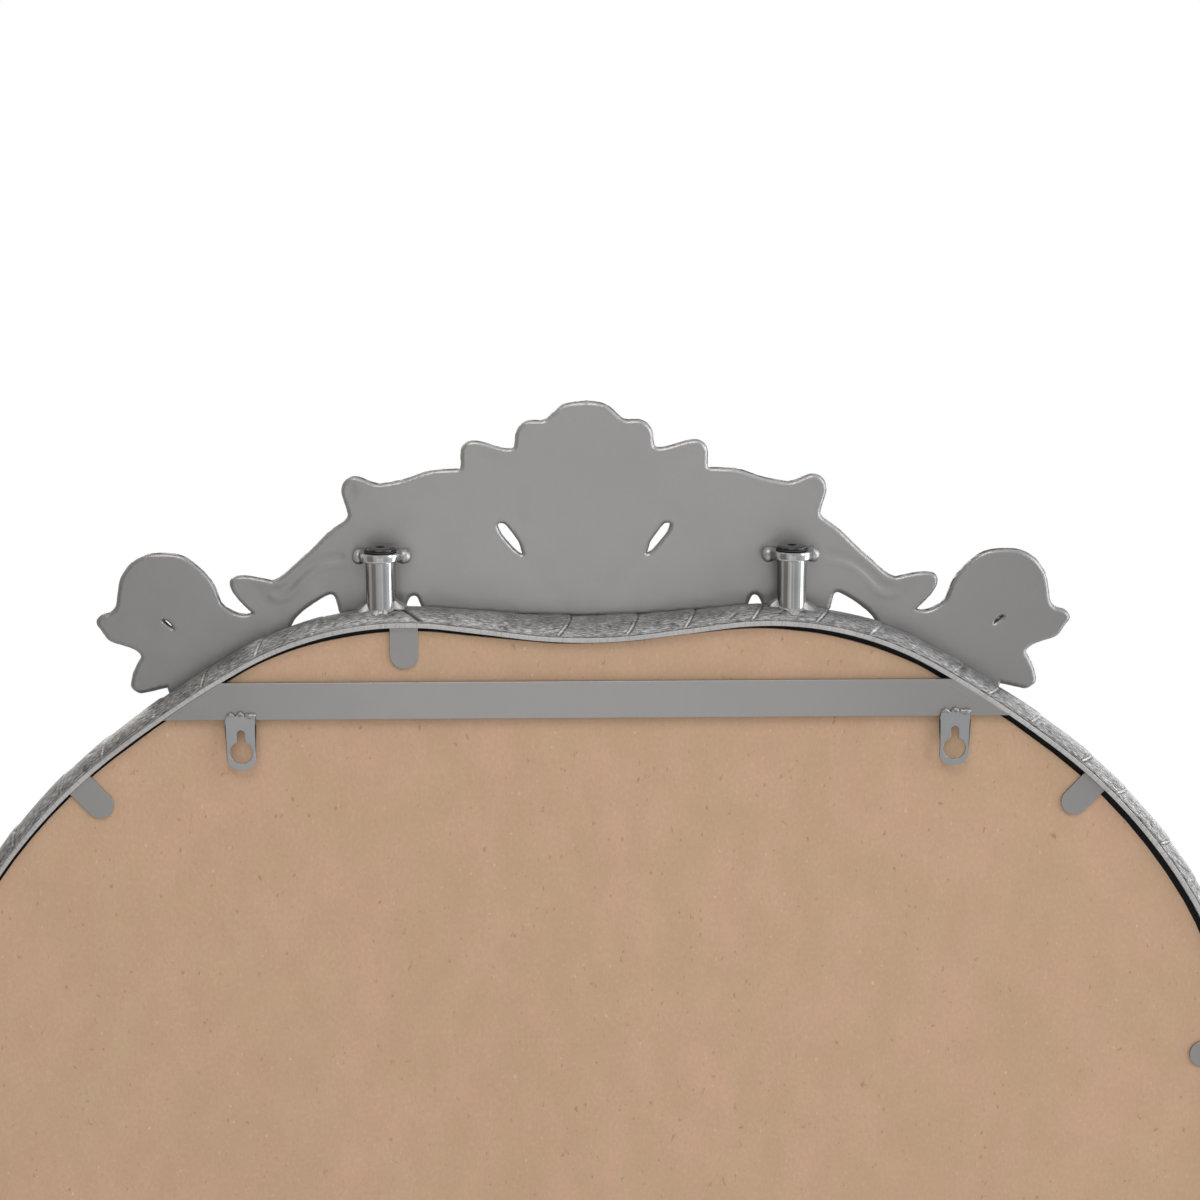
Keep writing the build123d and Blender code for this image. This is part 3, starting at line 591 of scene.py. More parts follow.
def seat_line():
    """The crest's seat on top of the frame, as a function of the distance from the centre line."""
    _, (cx, cz) = half_path()
    r2 = hump_r + seat_n
    lo, hi = 0.005, 0.16
    for _ in range(60):
        t = (lo + hi) / 2
        px, pz = cx - r2 * sin(t), cz + r2 * cos(t)
        run = (px - seat_dip_r * sin(t)) / cos(t)
        if seat_dip_z + seat_dip_r * (1 - cos(t)) + run * sin(t) - pz < 0:
            lo = t
        else:
            hi = t
    th = (lo + hi) / 2
    p1x, p1z = seat_dip_r * sin(th), seat_dip_z + seat_dip_r * (1 - cos(th))
    p2x = cx - r2 * sin(th)

    def z(x):
        x = np.abs(np.asarray(x, float))
        a = seat_dip_z + seat_dip_r - np.sqrt(np.maximum(seat_dip_r ** 2 - x ** 2, 1))
        b = p1z + (x - p1x) * np.tan(th)
        c = cz + np.sqrt(np.maximum(r2 ** 2 - (x - cx) ** 2, 1))
        return np.where(x < p1x, a, np.where(x < p2x, b, c)), p2x
    return z


seat_z = seat_line()
ST, HALF_L, _ = loop_stations(1.25)


def seat_lift(st):
    """How far the seat stands above a true offset of the rim at each station."""
    qx = st[:, 0] + seat_n * st[:, 2]; qz = st[:, 1] + seat_n * st[:, 3]
    z, p2x = seat_z(qx)
    return np.where((np.abs(qx) < p2x) & (qz > 0), z - qz, 0.0)


LIFT = seat_lift(ST)

# where one carved length of the moulding steps down to the next, along the outline
steps_top = [-366.9, -324.4, -292.5, -255.1, -222.6, -187.0, -153.4, -47.0, -14.2, 25.3, 58.6, 96.4, 132.1, 162.9,
             187.1, 214.4, 239.0, 268.5, 306.6, 334.9, 375.2, 403.0]


def all_steps():
    rng = np.random.default_rng(11)
    out = list(steps_top)
    s = out[-1]
    while s < HALF_L + 20:
        s += 32.0 + rng.uniform(-5, 7)
        out.append(s)
    s = out[0]
    left = []
    while s > -HALF_L - 20:
        s -= 32.0 + rng.uniform(-5, 7)
        left.append(s)
    return np.array(left[::-1] + out)


STEPS = all_steps()


def sweep(name, prof, ds, body, mats, replaces, disp=None, seam_uv=True, smooth_angle=None):
    """Closed ring along the frame's outline. prof: closed list of (n, y, lift weight)."""
    st = ST if abs(ds - 1.25) < 1e-6 else loop_stations(ds)[0]
    lift = LIFT if st is ST else seat_lift(st)
    P = np.asarray(prof, float)
    ni, nj = len(st), len(P)
    seg = np.hypot(*np.diff(np.vstack([P, P[:1]])[:, :2], axis=0).T)
    q = np.r_[0, np.cumsum(seg)][:-1]
    # outward normal of the profile polygon in (n, y)
    d = np.roll(P[:, :2], -1, 0) - np.roll(P[:, :2], 1, 0)
    pn = np.stack([d[:, 1], -d[:, 0]], -1)
    pn /= np.maximum(np.linalg.norm(pn, axis=1), 1e-9)[:, None]
    area = np.sum(P[:, 0] * np.roll(P[:, 1], -1) - np.roll(P[:, 0], -1) * P[:, 1])
    if area < 0:
        pn = -pn
    S = np.repeat(st[:, 4][:, None], nj, 1); Q = np.repeat(q[None, :], ni, 0)
    n = np.repeat(P[None, :, 0], ni, 0); y = np.repeat(P[None, :, 1], ni, 0)
    cav = high = None
    if disp is not None:
        h, cav, high = disp(S, Q, P)
        n = n + h * pn[None, :, 0]; y = y + h * pn[None, :, 1]
    X = AX + st[:, 0][:, None] + n * st[:, 2][:, None]
    Z = st[:, 1][:, None] + n * st[:, 3][:, None] + P[None, :, 2] * lift[:, None]
    V = np.stack([X, y, Z], -1).reshape(-1, 3)
    F = grid_faces(ni, nj, close_u=True, close_v=True, flip=area > 0)
    i = np.arange(ni)[:, None]; j = np.arange(nj)[None, :]
    s2 = np.r_[st[:, 4], st[0, 4] + 2 * HALF_L]; q2 = np.r_[q, q[-1] + seg[-1]]
    I, J = np.broadcast_arrays(i, j)
    I, J = I.ravel(), J.ravel()
    uv = np.stack([np.stack([s2[I], q2[J]], -1), np.stack([s2[I + 1], q2[J]], -1),
                   np.stack([s2[I + 1], q2[J + 1]], -1), np.stack([s2[I], q2[J + 1]], -1)], 1) * MM
    if area > 0:
        uv = uv[:, ::-1]
    at = {}
    if cav is not None:
        at = {"cav": cav.ravel(), "high": high.ravel()}
    return make(name, V, F, body, mats, replaces, smooth_angle, None, at, uv)


# ================================================================ frame moulding
prof_ctrl = [
    (2.95, -0.05, 0), (4.4, -0.35, 0), (6.2, -2.0, 0), (8.2, -5.2, 0), (9.4, -9.6, 0.15), (9.5, -14.5, 0.4), (8.6, -19.6, 0.75), (7.1, -23.9, 1),
    (6.0, -26.4, 1), (6.0, -30.5, 1), (4.9, -34.2, 1), (2.0, -37.4, 0.95), (-1.6, -39.1, 0.85), (-5.0, -38.9, 0.6), (-7.4, -36.9, 0.4), (-8.5, -34.3, 0.3),
    (-8.9, -32.6, 0.2), (-10.2, -32.4, 0.15), (-11.8, -31.0, 0.1), (-12.1, -28.4, 0.05), (-11.2, -26.2, 0), (-11.3, -23.6, 0), (-12.0, -21.0, 0), (-12.0, -17.4, 0)]


def dense_profile():
    C = np.array(prof_ctrl, float)
    out = []
    for k in range(len(C) - 1):
        p0, p1, p2, p3 = C[max(k - 1, 0)], C[k], C[k + 1], C[min(k + 2, len(C) - 1)]
        m = max(2, int(round(np.hypot(*(p2 - p1)[:2]) / 0.95)))
        for t in np.arange(m) / m:
            out.append(0.5 * ((2 * p1) + (-p0 + p2) * t + (2 * p0 - 5 * p1 + 4 * p2 - p3) * t ** 2 + (-p0 + 3 * p1 - 3 * p2 + p3) * t ** 3))
    out.append(C[-1])
    vis = len(out)
    out += [np.array(p, float) for p in ((-11.6, -17.05, 0), (-4.0, -17.02, 0), (2.6, -17.02, 0), (2.95, -16.7, 0), (2.95, -8.0, 0))]
    return np.array(out), vis


PROF, N_VIS = dense_profile()


def carved_marks():
    """Cuts across the band beside the rim: (s, q) at both ends, half width, depth, darkness."""
    out = [(-94.0, 0.6, -107.5, 14.0, 1.0, 1.5, 1.0), (-50.5, 2.6, -46.3, 4.6, 0.7, 0.5, 0.8), (52.6, 2.4, 48.6, 5.2, 0.7, 0.5, 0.8),
           (82.0, 2.6, 86.4, 6.0, 0.7, 0.5, 0.8), (-381.0, 2.0, -389.5, 8.0, 0.8, 0.6, 0.9), (-389.5, 3.0, -384.5, 6.5, 0.8, 0.5, 0.8),
           (388.0, 3.0, 398.0, 6.0, 0.8, 0.5, 0.7), (-20.5, 1.5, -17.0, 3.2, 0.7, 0.4, 0.6)]
    rng = np.random.default_rng(23)
    s = -HALF_L
    while s < HALF_L:
        s += rng.uniform(26, 62)
        l, sl, q0 = rng.uniform(4, 9), rng.uniform(-1, 1), rng.uniform(2, 9)
        out.append((s, q0, s + l * sl, q0 + rng.uniform(1.5, 4.5), rng.uniform(0.5, 0.85), rng.uniform(0.2, 0.5), rng.uniform(0.3, 0.75)))
    return out


def moulding_relief(S, Q, P):
    q = Q[0]
    qe = q[N_VIS - 1]
    # the carved steps cross the section on a slant
    v = P[:, 0] - 0.21 * P[:, 1]
    slant = np.maximum.accumulate(np.where(q < 31, 0.75 * (v - v[0]), 0.0)) + 0.62 * np.maximum(q - 31, 0)
    T = S - slant[None, :] + 3.2
    k = np.clip(np.searchsorted(STEPS, T) - 1, 0, len(STEPS) - 2)
    a, b = STEPS[k], STEPS[k + 1]
    u = np.clip((T - a) / (b - a), 0, 1)
    one = k * 0

    def amp_of(i):
        return 0.62 + 0.26 * hash2(i, one + 3, 5)

    def force_of(i):
        f = 0.62 + 0.42 * hash2(i, one + 7, 8)
        c = STEPS[np.clip(i, 0, len(STEPS) - 1)]
        for v in (-14.2, 25.3, 58.6, 96.4, 132.1, 306.6, 375.2):
            f = np.where(np.abs(c - v) < 0.5, 1.0, f)
        return np.where(np.abs(c + 47.0) < 0.5, 0.30, np.clip(f, 0.22, 1.0))
    on = smooth(0.3, 2.0, q) * (1 - smooth(qe - 27, qe - 22.5, q))
    on = on[None, :]
    d0, d1 = (T - a), (b - T)                      # past the last step, short of the next
    lev = amp_of(k) * u ** 1.3 - 0.40
    w1 = np.clip((0.6 - d1) / 1.2, 0, 0.5)
    w0 = np.clip((0.6 - d0) / 1.2, 0, 0.5)
    lev = lev * (1 - w1) + (-0.40) * w1
    lev = lev * (1 - w0) + (amp_of(k - 1) - 0.40) * w0
    h = on * lev
    e = np.where(d0 < d1, d0, -d1)                  # signed distance from the nearest step
    f = force_of(np.where(d0 < d1, k, k + 1))
    band_part = (1 - smooth(20, 28, q))[None, :]
    f = f * (0.55 + 0.45 * band_part)
    line1 = np.exp(-((e + 1.05) / 0.45) ** 2)
    line2 = np.exp(-((e - 1.10) / 0.42) ** 2)
    # painted highlight: the wall at each step is marked bright, as lit from the side
    wall = smooth(-0.85, -0.45, e) * (1 - smooth(0.45, 0.80, e))
    wall = wall * (1 - 0.75 * smooth(8.0, 11.5, q))[None, :]
    h = h - on * f * (0.36 * line1 + 0.50 * line2)
    # reeds along the front round
    rq = q - 33.0
    reed = np.abs(np.cos(pi * rq / 4.1)) ** 0.8
    ron = smooth(30.5, 33.5, q) * (1 - smooth(qe - 25.0, qe - 22.5, q))
    h = h + (ron * (reed * 0.95 - 0.62))[None, :]
    # fine hand-carved unevenness, long along the length
    h = h + 0.12 * fnoise(S / 19.0, Q / 2.3, 4, 3) * on
    h = h + 0.09 * fnoise(S / 4.5, Q / 1.7, 9, 2) * on
    # bead row at the sight edge
    b0, b1 = qe - 19.5, qe - 9.0
    bead_on = (smooth(b0, b0 + 1.6, q) * (1 - smooth(b1 - 1.6, b1, q)))[None, :]
    per = 2 * HALF_L / round(2 * HALF_L / 7.5)
    ph = (S / per - np.floor(S / per)) * 2 - 1
    across = np.clip(np.abs(q - (b0 + b1) / 2) / 4.6, 0, 1)[None, :]
    bead = np.sqrt(np.clip(1 - (np.abs(ph) / 0.98) ** 2.2, 0, 1)) * np.sqrt(np.clip(1 - across ** 2.4, 0, 1))
    h = h + bead_on * (bead * 1.15 - 0.55)
    cav = on * f * (0.70 * line1 * (1 - 0.6 * smooth(8.0, 12.0, q))[None, :] + 1.0 * line2) + on * 0.10 * (1 - reed)[None, :] * ron[None, :]
    cav = cav + bead_on * (1 - bead) * 0.8
    cav = cav + 0.75 * (ron * (1 - smooth(0.0, 0.45, reed)))[None, :]
    edge = np.exp(-((q - (qe - 21.0)) / 1.2) ** 2) + 0.9 * np.exp(-((q - (qe - 7.5)) / 1.4) ** 2)
    cav = cav + edge[None, :] + 0.22 * (1 - smooth(1.6, 3.4, q))[None, :]
    cav = cav + 0.22 * smooth(0.15, 0.6, fnoise(S / 14.0, Q / 3.0, 31, 3)) * on
    # painted highlight on the step walls, plus the worn bright tops of the beads and reeds
    high = on * f * wall * 0.95 + bead_on * smooth(0.75, 1.0, bead) * 0.8
    high = high + (ron * smooth(0.82, 1.0, reed))[None, :] * 0.55 * (0.6 + 0.4 * fnoise(S / 9.0, Q / 2.0, 12, 2))
    # single cuts
    for s1, q1, s2, q2, hw, dep, dark in carved_marks():
        i0, i1 = np.searchsorted(S[:, 0], (min(s1, s2) - 4, max(s1, s2) + 4))
        if i1 <= i0:
            continue
        x, y = S[i0:i1], Q[i0:i1]
        dx, dy = s2 - s1, q2 - q1
        t = np.clip(((x - s1) * dx + (y - q1) * dy) / (dx * dx + dy * dy), 0, 1)
        d = np.hypot(x - s1 - t * dx, y - q1 - t * dy)
        g = np.exp(-(d / hw) ** 2) * on
        h[i0:i1] -= dep * g
        cav[i0:i1] = np.maximum(cav[i0:i1], dark * g)
        # painted highlight along one side of each cut, as on its lit wall
        side = ((x - s1) * dy - (y - q1) * dx) / sqrt(dx * dx + dy * dy) * np.sign(dy)
        high[i0:i1] = np.maximum(high[i0:i1], 0.7 * dark * np.exp(-((side + 1.7 * hw) / (0.9 * hw)) ** 2) * (t > 0.02) * (t < 0.98) * on)
    hidden = np.arange(len(q)) >= N_VIS
    h[:, hidden] = 0; h[:, 0] = 0
    h[:, N_VIS - 1] = 0
    return h, np.clip(cav, 0, 1), np.clip(high, 0, 1)


moulding = sweep("frame_moulding_carved", PROF, 1.25, "root", [M["frame"]], ("frame_moulding",), moulding_relief)

# ---------------------------------------------------------------- steel rim strip
rim_ring = rounded([(0.0, 0.0), (2.9, 0.0), (2.9, -17.0), (0.0, -17.0)], 0.55, 3)
rim_prof = [(a, b, 0) for a, b in rim_ring]


def rim_relief(S, Q, P):
    h = 0.05 * fnoise(S / 30.0, Q / 8.0, 8, 3) + 0.03 * fnoise(S / 3.0, Q / 1.0, 21, 2)
    return h, np.zeros_like(S), np.zeros_like(S)


sweep("rebate_rim_strip", rim_prof, 2.0, "root", [M["rim"]], ("rebate_rim",), rim_relief, smooth_angle=None)

# ---------------------------------------------------------------- carried-over CAD pieces
nodes["mirror_glass"].data.materials.clear(); nodes["mirror_glass"].data.materials.append(M["mirror"])
nodes["backing_board"].data.materials.clear(); nodes["backing_board"].data.materials.append(M["board"])
nodes["edge_packing"].data.materials.clear(); nodes["edge_packing"].data.materials.append(M["foam"])


# ================================================================ crossbar and hangers
def rim_x_at(z, off=0.0):
    """Half width of the frame's opening at a height, from the centre line."""
    m = (ST[:, 0] > 150) & (ST[:, 1] > -200)
    x = ST[m, 0] + off * ST[m, 2]; zz = ST[m, 1] + off * ST[m, 3]
    o = np.argsort(zz)
    return float(np.interp(z, zz[o], x[o]))


bar_low, bar_high = 18.7, 40.3
zs = np.linspace(bar_low, bar_high, 16)
bar_loop = [(AX + rim_x_at(z, -0.02), z) for z in zs] + [(AX - rim_x_at(z, -0.02), z) for z in zs[::-1]]
plate("crossbar_flat", [bar_loop], 0.0, -3.0, 0.45, "root", [M["bar"]], ("crossbar",))


def weld_strip(name, sx, width, proud, node, lo, hi, sd):
    """Dressed weld along the bar's cut end: a low ridge on the rim's inner face, parallel to it."""
    parts = []
    n = 34
    Z = np.linspace(bar_low + lo, bar_high - hi, n)
    sec = 9
    V = []
    for i, z in enumerate(Z):
        x0 = rim_x_at(z, 0.35); x1 = rim_x_at(z, -width)
        k = np.linspace(0, 1, sec)
        end = sqrt(max(0.0, 1 - (2 * i / (n - 1) - 1) ** 8))
        hgt = proud * (np.sin(pi * np.clip(k * 1.0, 0, 1)) ** 0.55) * (0.35 + 0.65 * end)
        hgt = hgt + 0.04 * fnoise(k * 2 + sd, np.full(sec, z / 2.2), sd, 2)
        xs = AX + sx * (x0 + (x1 - x0) * k)
        top = [(xs[q], hgt[q] - 0.05, z) for q in range(sec)]
        bot = [(xs[q], -3.6, z) for q in (sec - 1, 0)]
        V += top + bot
    m = sec + 2
    F = grid_faces(n, m, close_v=True).tolist()
    F.append(list(range(m))[::-1]); F.append([(n - 1) * m + q for q in range(m)])
    o = make(name, V, F, "root", [M["bar"]], (node,), 55.0)
    outward(o)
    return o


weld_strip("crossbar_end_weld_left", 1, 1.6, 0.30, "crossbar_weld_left", 0.4, 0.4, 3)
weld_strip("crossbar_end_weld_right", -1, 5.2, 0.42, "crossbar_weld_right", 0.2, 0.2, 7)

hang_w, hang_top, hang_bottom, hang_t = 16.8, 21.4, -10.3, 1.6
key_r, key_slot_w, key_slot_top = 6.4, 4.4, 13.1


def arc(cx, cz, r, a0, a1, n):
    return [(cx + r * cos(radians(a)), cz + r * sin(radians(a))) for a in np.linspace(a0, a1, n)]


def hanger(name, x, node, pad):
    w = hang_w / 2
    outer = arc(x + w - 7.6, hang_bottom + 7.0, 7.6, 0, -90, 14)
    outer = [(x + w - 7.6 + (px - (x + w - 7.6)), hang_bottom + 7.0 + (pz - hang_bottom - 7.0) * 7.0 / 7.6) for px, pz in outer]
    left = [(2 * x - px, pz) for px, pz in outer][::-1]
    loop = [(x + w, hang_top - 1.2)] + outer + left + [(x - w, hang_top - 1.2)] + arc(x - w + 1.4, hang_top - 1.4, 1.4, 180, 90, 5) \
        + arc(x + w - 1.4, hang_top - 1.4, 1.4, 90, 0, 5)
    sw = key_slot_w / 2
    a = math.degrees(math.asin(sw / key_r))
    hole = arc(x, 0.0, key_r, 90 + a, 450 - a, 44) + [(x + sw, key_slot_top - sw)] + arc(x, key_slot_top - sw, sw, 0, 180, 13)[1:-1] + [(x - sw, key_slot_top - sw)]
    return plate(name, [loop, hole], hang_t, 0.0, 0.42, "root", [M["hanger"]], (node,))


hanger("keyhole_hanger_plate_left", 203.2, "keyhole_hanger_left", False)
hanger("keyhole_hanger_plate_right", -203.2, "keyhole_hanger_right", True)

# short grey weld beads along the top of both hangers; the embossed pressed-metal pad round the right hanger's slot is
# not modelled
for side, x in (("left", 203.2), ("right", -203.2)):
    parts = []
    for dx, dz, half, r, sd in ((5.4, 0.3, 1.7, 1.25, 2), (0.0, 0.9, 1.5, 1.30, 3), (-5.7, 0.1, 2.1, 1.70, 4)):
        bend = 0.9 if dx > -2 else -0.3
        px = [x + dx - half, x + dx, x + dx + half]
        pz = [hang_top + dz - bend * 0.5, hang_top + dz + bend * 0.5, hang_top + dz - bend * 0.35]
        v, f = tube([(px[0], 0.85, pz[0]), (px[1], 0.95, pz[1]), (px[2], 0.85, pz[2])], [r * 0.75, r, r * 0.8], 16, 6,
                    noise_amp=0.10, noise_scale=1.2, seed=sd + (9 if x > 0 else 0))
        parts.append((v, f))
    v, f = join(parts)
    o = make("hanger_weld_beads_" + side, v, f, "root", [M["weld_grey"]], ("hanger_welds_" + side,), 60.0)
    outward(o)

# ---------------------------------------------------------------- retaining tabs
tab_w, tab_len, tab_t = 16.0, 24.5, 1.5


def tab_loop():
    r = tab_w / 2
    pts = [(r, 0.0), (r, tab_len - r)] + arc(0, tab_len - r, r, 0, 180, 26)[1:-1] + [(-r, tab_len - r), (-r, 0.0)]
    return pts


def tabs(name, places, node):
    """Round-ended tabs: the root is bent down along the rim's inner face, the tongue lies on the board."""
    obs = []
    for px, pz, ang in places:
        nx, nz = sin(ang), cos(ang)
        L = [(u, v) for u, v in tab_loop()]

        def place(co, px=px, pz=pz, nx=nx, nz=nz):
            u, y, v = co[:, 0], co[:, 1], co[:, 2]
            # a gentle spring in the tongue is worked out but multiplied by zero, so the tongue stays flat
            lift = 0.25 * np.sin(np.clip(v / tab_len, 0, 1) * pi)
            ox = AX + px + 0.2 * nx; oz = pz + 0.2 * nz
            return np.stack([ox + u * nz - v * nx, y + lift * 0.0, oz - u * nx - v * nz], -1)
        o = plate(name + "_t", [L], -4.0 + tab_t, -4.0, 0.33, "root", [M["tab"]], (), place)
        obs.append(o)
        # bent root with a rounded fold
        r = tab_w / 2
        fold = [(0.0, -4.0 + tab_t - 0.02), (0.5, -4.0 + tab_t + 0.03), (1.25, -4.0 + tab_t - 0.12), (1.5, -4.0 + tab_t - 0.6), (1.5, -8.6), (0.15, -8.8), (0.0, -8.2)]
        fold = rounded([(0.0, -2.46), (1.5, -2.46), (1.5, -8.7), (0.0, -8.7)], 0.5, 4)
        V = []
        us = np.linspace(-r + 0.02, r - 0.02, 13)
        for u in us:
            for a, y in fold:
                V.append((AX + px - 0.03 * nx + u * nz - a * nx, y, pz - 0.03 * nz - u * nx - a * nz))
        m = len(fold)
        F = grid_faces(len(us), m, close_v=True).tolist()
        F.append(list(range(m))[::-1]); F.append([(len(us) - 1) * m + q for q in range(m)])
        rt = make(name + "_r", V, F, "root", [M["tab"]], (), 50.0)
        outward(rt)
        obs.append(rt)
    # one object for the node
    dg = bpy.context.evaluated_depsgraph_get()
    Vs, Fs = [], []
    for o in obs:
        me = o.data
        co = np.zeros(len(me.vertices) * 3); me.vertices.foreach_get("co", co)
        Vs.append(co.reshape(-1, 3) / MM); Fs.append([list(p.vertices) for p in me.polygons])
    for o in obs:
        me = o.data
        bpy.data.objects.remove(o); bpy.data.meshes.remove(me)
    v, f = join(list(zip(Vs, Fs)))
    o = make(name, v, f, "root", [M["tab"]], (node,), 50.0)
    wn = o.modifiers.new("normals", "WEIGHTED_NORMAL"); wn.keep_sharp = True; wn.weight = 90
    return o


def rim_at(x):
    """Point and outward angle of the rim's inner edge above x (x from the centre line)."""
    m = ST[:, 1] > -199
    k = np.argmin(np.abs(ST[m, 0] - x))
    q = ST[m][k]
    return q[0], q[1], math.atan2(q[2], q[3])


HW = float(ST[:, 0].max())
tx = rim_at(103.4)
tabs("tab_top", [(103.4, tx[1], -0.012)], "retaining_tab_top")
d = rim_at(290.4)
tabs("tab_upper_left", [d], "retaining_tab_upper_left")
d = rim_at(292.6)
tabs("tab_upper_right", [(-d[0], d[1], -d[2])], "retaining_tab_upper_right")
heights = (-190.0, -560.0, -930.0, -1300.0)
tabs("tabs_side_left", [(HW, z, pi / 2) for z in heights], "retaining_tabs_left")
tabs("tabs_side_right", [(-HW, z, -pi / 2) for z in heights], "retaining_tabs_right")
tabs("tabs_bottom", [(x, bottom_z, pi) for x in (-230.0, 0.0, 230.0)], "retaining_tabs_bottom")

# ================================================================ crest
half_spans = [
    [(0.0, 195.2), (5.7, 194.8), (11.2, 193.5), (15.3, 190.8), (20.6, 185.9), (22.4, 184.9), (24.8, 184.5)],
    [(24.8, 184.5), (30.5, 184.6), (33.6, 183.7), (36.0, 181.5), (37.1, 179.8), (38.0, 176.7), (38.5, 172.0), (39.5, 169.6), (41.4, 168.7)],
    [(41.4, 168.7), (45.2, 168.8), (53.0, 170.9), (61.2, 173.0), (66.2, 172.2), (68.8, 169.0), (69.1, 164.0), (69.2, 159.6), (69.8, 157.9), (71.1, 157.0)],
    [(71.1, 157.0), (79.0, 156.8), (86.7, 156.1), (94.5, 153.8), (102.7, 151.1), (109.0, 149.7), (116.0, 148.7)],
    [(116.0, 148.7), (119.9, 149.3), (124.5, 151.2), (128.8, 152.8), (131.4, 152.9), (133.8, 151.9), (136.2, 149.1), (137.1, 145.3), (136.4, 141.5), (134.1, 133.7), (133.8, 131.4), (134.3, 129.9)],
    [(134.3, 129.9), (136.5, 127.6), (143.0, 123.0), (148.2, 118.5), (155.2, 111.5), (162.7, 104.7), (170.2, 98.0), (174.8, 94.5), (178.9, 92.9)],
    [(178.9, 92.9), (185.5, 94.4), (191.0, 95.4), (196.3, 95.9), (199.9, 95.3), (201.7, 94.0), (202.2, 91.9), (201.1, 88.0), (196.3, 81.4), (189.8, 74.9)],
    [(189.8, 74.9), (191.0, 74.2), (194.2, 73.4), (198.0, 73.6), (202.6, 75.3), (207.0, 78.3), (209.4, 81.5), (211.7, 88.3), (215.5, 95.2), (222.1, 102.2), (229.0, 107.2), (236.2, 109.0),
     (244.7, 109.2), (250.1, 108.4), (256.3, 105.4), (260.6, 101.4), (264.5, 95.2), (265.5, 92.1), (266.5, 86.7), (267.4, 81.2), (268.7, 77.7), (271.8, 74.9)],
    [(271.8, 74.9), (277.7, 72.7), (279.4, 69.7), (277.3, 66.0), (274.8, 62.0), (272.6, 59.6), (266.0, 57.1), (259.3, 54.6), (256.9, 53.0), (255.3, 51.2), (254.8, 48.9)],
    [(254.8, 48.9), (258.7, 42.1), (260.6, 36.7), (261.2, 32.1), (260.2, 30.5), (257.8, 28.9), (255.6, 28.6), (248.3, 30.2), (241.0, 31.8)],
]
lens_slot = [(48.9, 127.2), (46.3, 127.3), (45.0, 126.8), (38.7, 118.8), (36.4, 114.8), (35.5, 111.8), (34.8, 109.0), (35.1, 108.1), (35.8, 107.8), (37.2, 108.2), (41.5, 112.0), (46.5, 117.9), (48.8, 121.3), (49.9, 124.2), (50.0, 125.8)]
volute_slit = [(241.5, 71.7), (239.6, 71.1), (237.2, 69.0), (236.1, 66.6), (236.2, 65.8), (236.7, 65.6), (240.9, 68.7), (242.3, 70.2), (242.4, 70.9)]
arch_opening = [(103.4, 60.0), (103.4, 78.6), (101.7, 82.7), (99.5, 84.8), (97.2, 85.1), (96.0, 84.6), (94.8, 82.9), (93.2, 78.6), (92.4, 60.0)]
side_opening = [(138.0, 50.0), (140.4, 75.9), (142.6, 84.5), (143.7, 85.7), (145.6, 86.3), (149.4, 85.0), (153.5, 82.6), (161.0, 77.4), (165.1, 73.8), (167.5, 71.0), (169.7, 67.0), (176.0, 50.0)]


def spline(pts, step=1.0, closed=False):
    """Smooth curve through the points (cubic, chord-length spaced), resampled at about the step."""
    P = np.asarray(pts, float)
    if closed:
        P = np.vstack([P, P[:1]])
    t = np.r_[0, np.cumsum(np.sqrt(np.hypot(*np.diff(P, axis=0).T)))]
    n = len(P)
    # natural cubic spline on each coordinate
    h = np.diff(t)
    A = np.zeros((n, n)); B = np.zeros((n, 2))
    if closed:
        m = n - 1
        A = np.zeros((m, m)); B = np.zeros((m, 2))
        for i in range(m):
            h0, h1 = h[i - 1], h[i]
            A[i, (i - 1) % m] += h0; A[i, i] += 2 * (h0 + h1); A[i, (i + 1) % m] += h1
            B[i] = 6 * ((P[(i + 1) % m] - P[i]) / h1 - (P[i] - P[(i - 1) % m]) / h0)
        Mx = np.linalg.solve(A, B); Mx = np.vstack([Mx, Mx[:1]])
    else:
        A[0, 0] = A[-1, -1] = 1
        for i in range(1, n - 1):
            A[i, i - 1], A[i, i], A[i, i + 1] = h[i - 1], 2 * (h[i - 1] + h[i]), h[i]
            B[i] = 6 * ((P[i + 1] - P[i]) / h[i] - (P[i] - P[i - 1]) / h[i - 1])
        Mx = np.linalg.solve(A, B)
    tt = np.linspace(0, t[-1], 4000)
    i = np.clip(np.searchsorted(t, tt, side="right") - 1, 0, n - 2)
    a, b, hh = (t[i + 1] - tt)[:, None], (tt - t[i])[:, None], h[i][:, None]
    Q = (Mx[i] * a ** 3 + Mx[i + 1] * b ** 3) / (6 * hh) + (P[i] / hh - Mx[i] * hh / 6) * a + (P[i + 1] / hh - Mx[i + 1] * hh / 6) * b
    L = np.r_[0, np.cumsum(np.hypot(*np.diff(Q, axis=0).T))]
    k = max(2, int(round(L[-1] / step)))
    s = np.linspace(0, L[-1], k + 1)
    R = np.stack([np.interp(s, L, Q[:, 0]), np.interp(s, L, Q[:, 1])], -1)
    return R[:-1] if closed else R


def crest_outline():
    half = []
    for sp in half_spans:
        half += spline(sp, 0.9)[:-1].tolist()
    half.append([241.0, 31.8]); half.append([232.0, 2.0])
    half = np.array(half)
    left = half * [-1, 1]
    return np.vstack([half, left[::-1][:-1]])


def seat_polygon():
    m = (ST[:, 1] > -90)
    st, lf = ST[m], LIFT[m]
    x = st[:, 0] + (seat_n + 0.3) * st[:, 2] - 1.0
    z = st[:, 1] + (seat_n + 0.3) * st[:, 3] + lf
    o = np.argsort(x)
    pts = np.stack([x[o], z[o]], -1)
    return np.vstack([[[pts[0, 0], -120.0]], pts, [[pts[-1, 0], -120.0]]])[::-1]


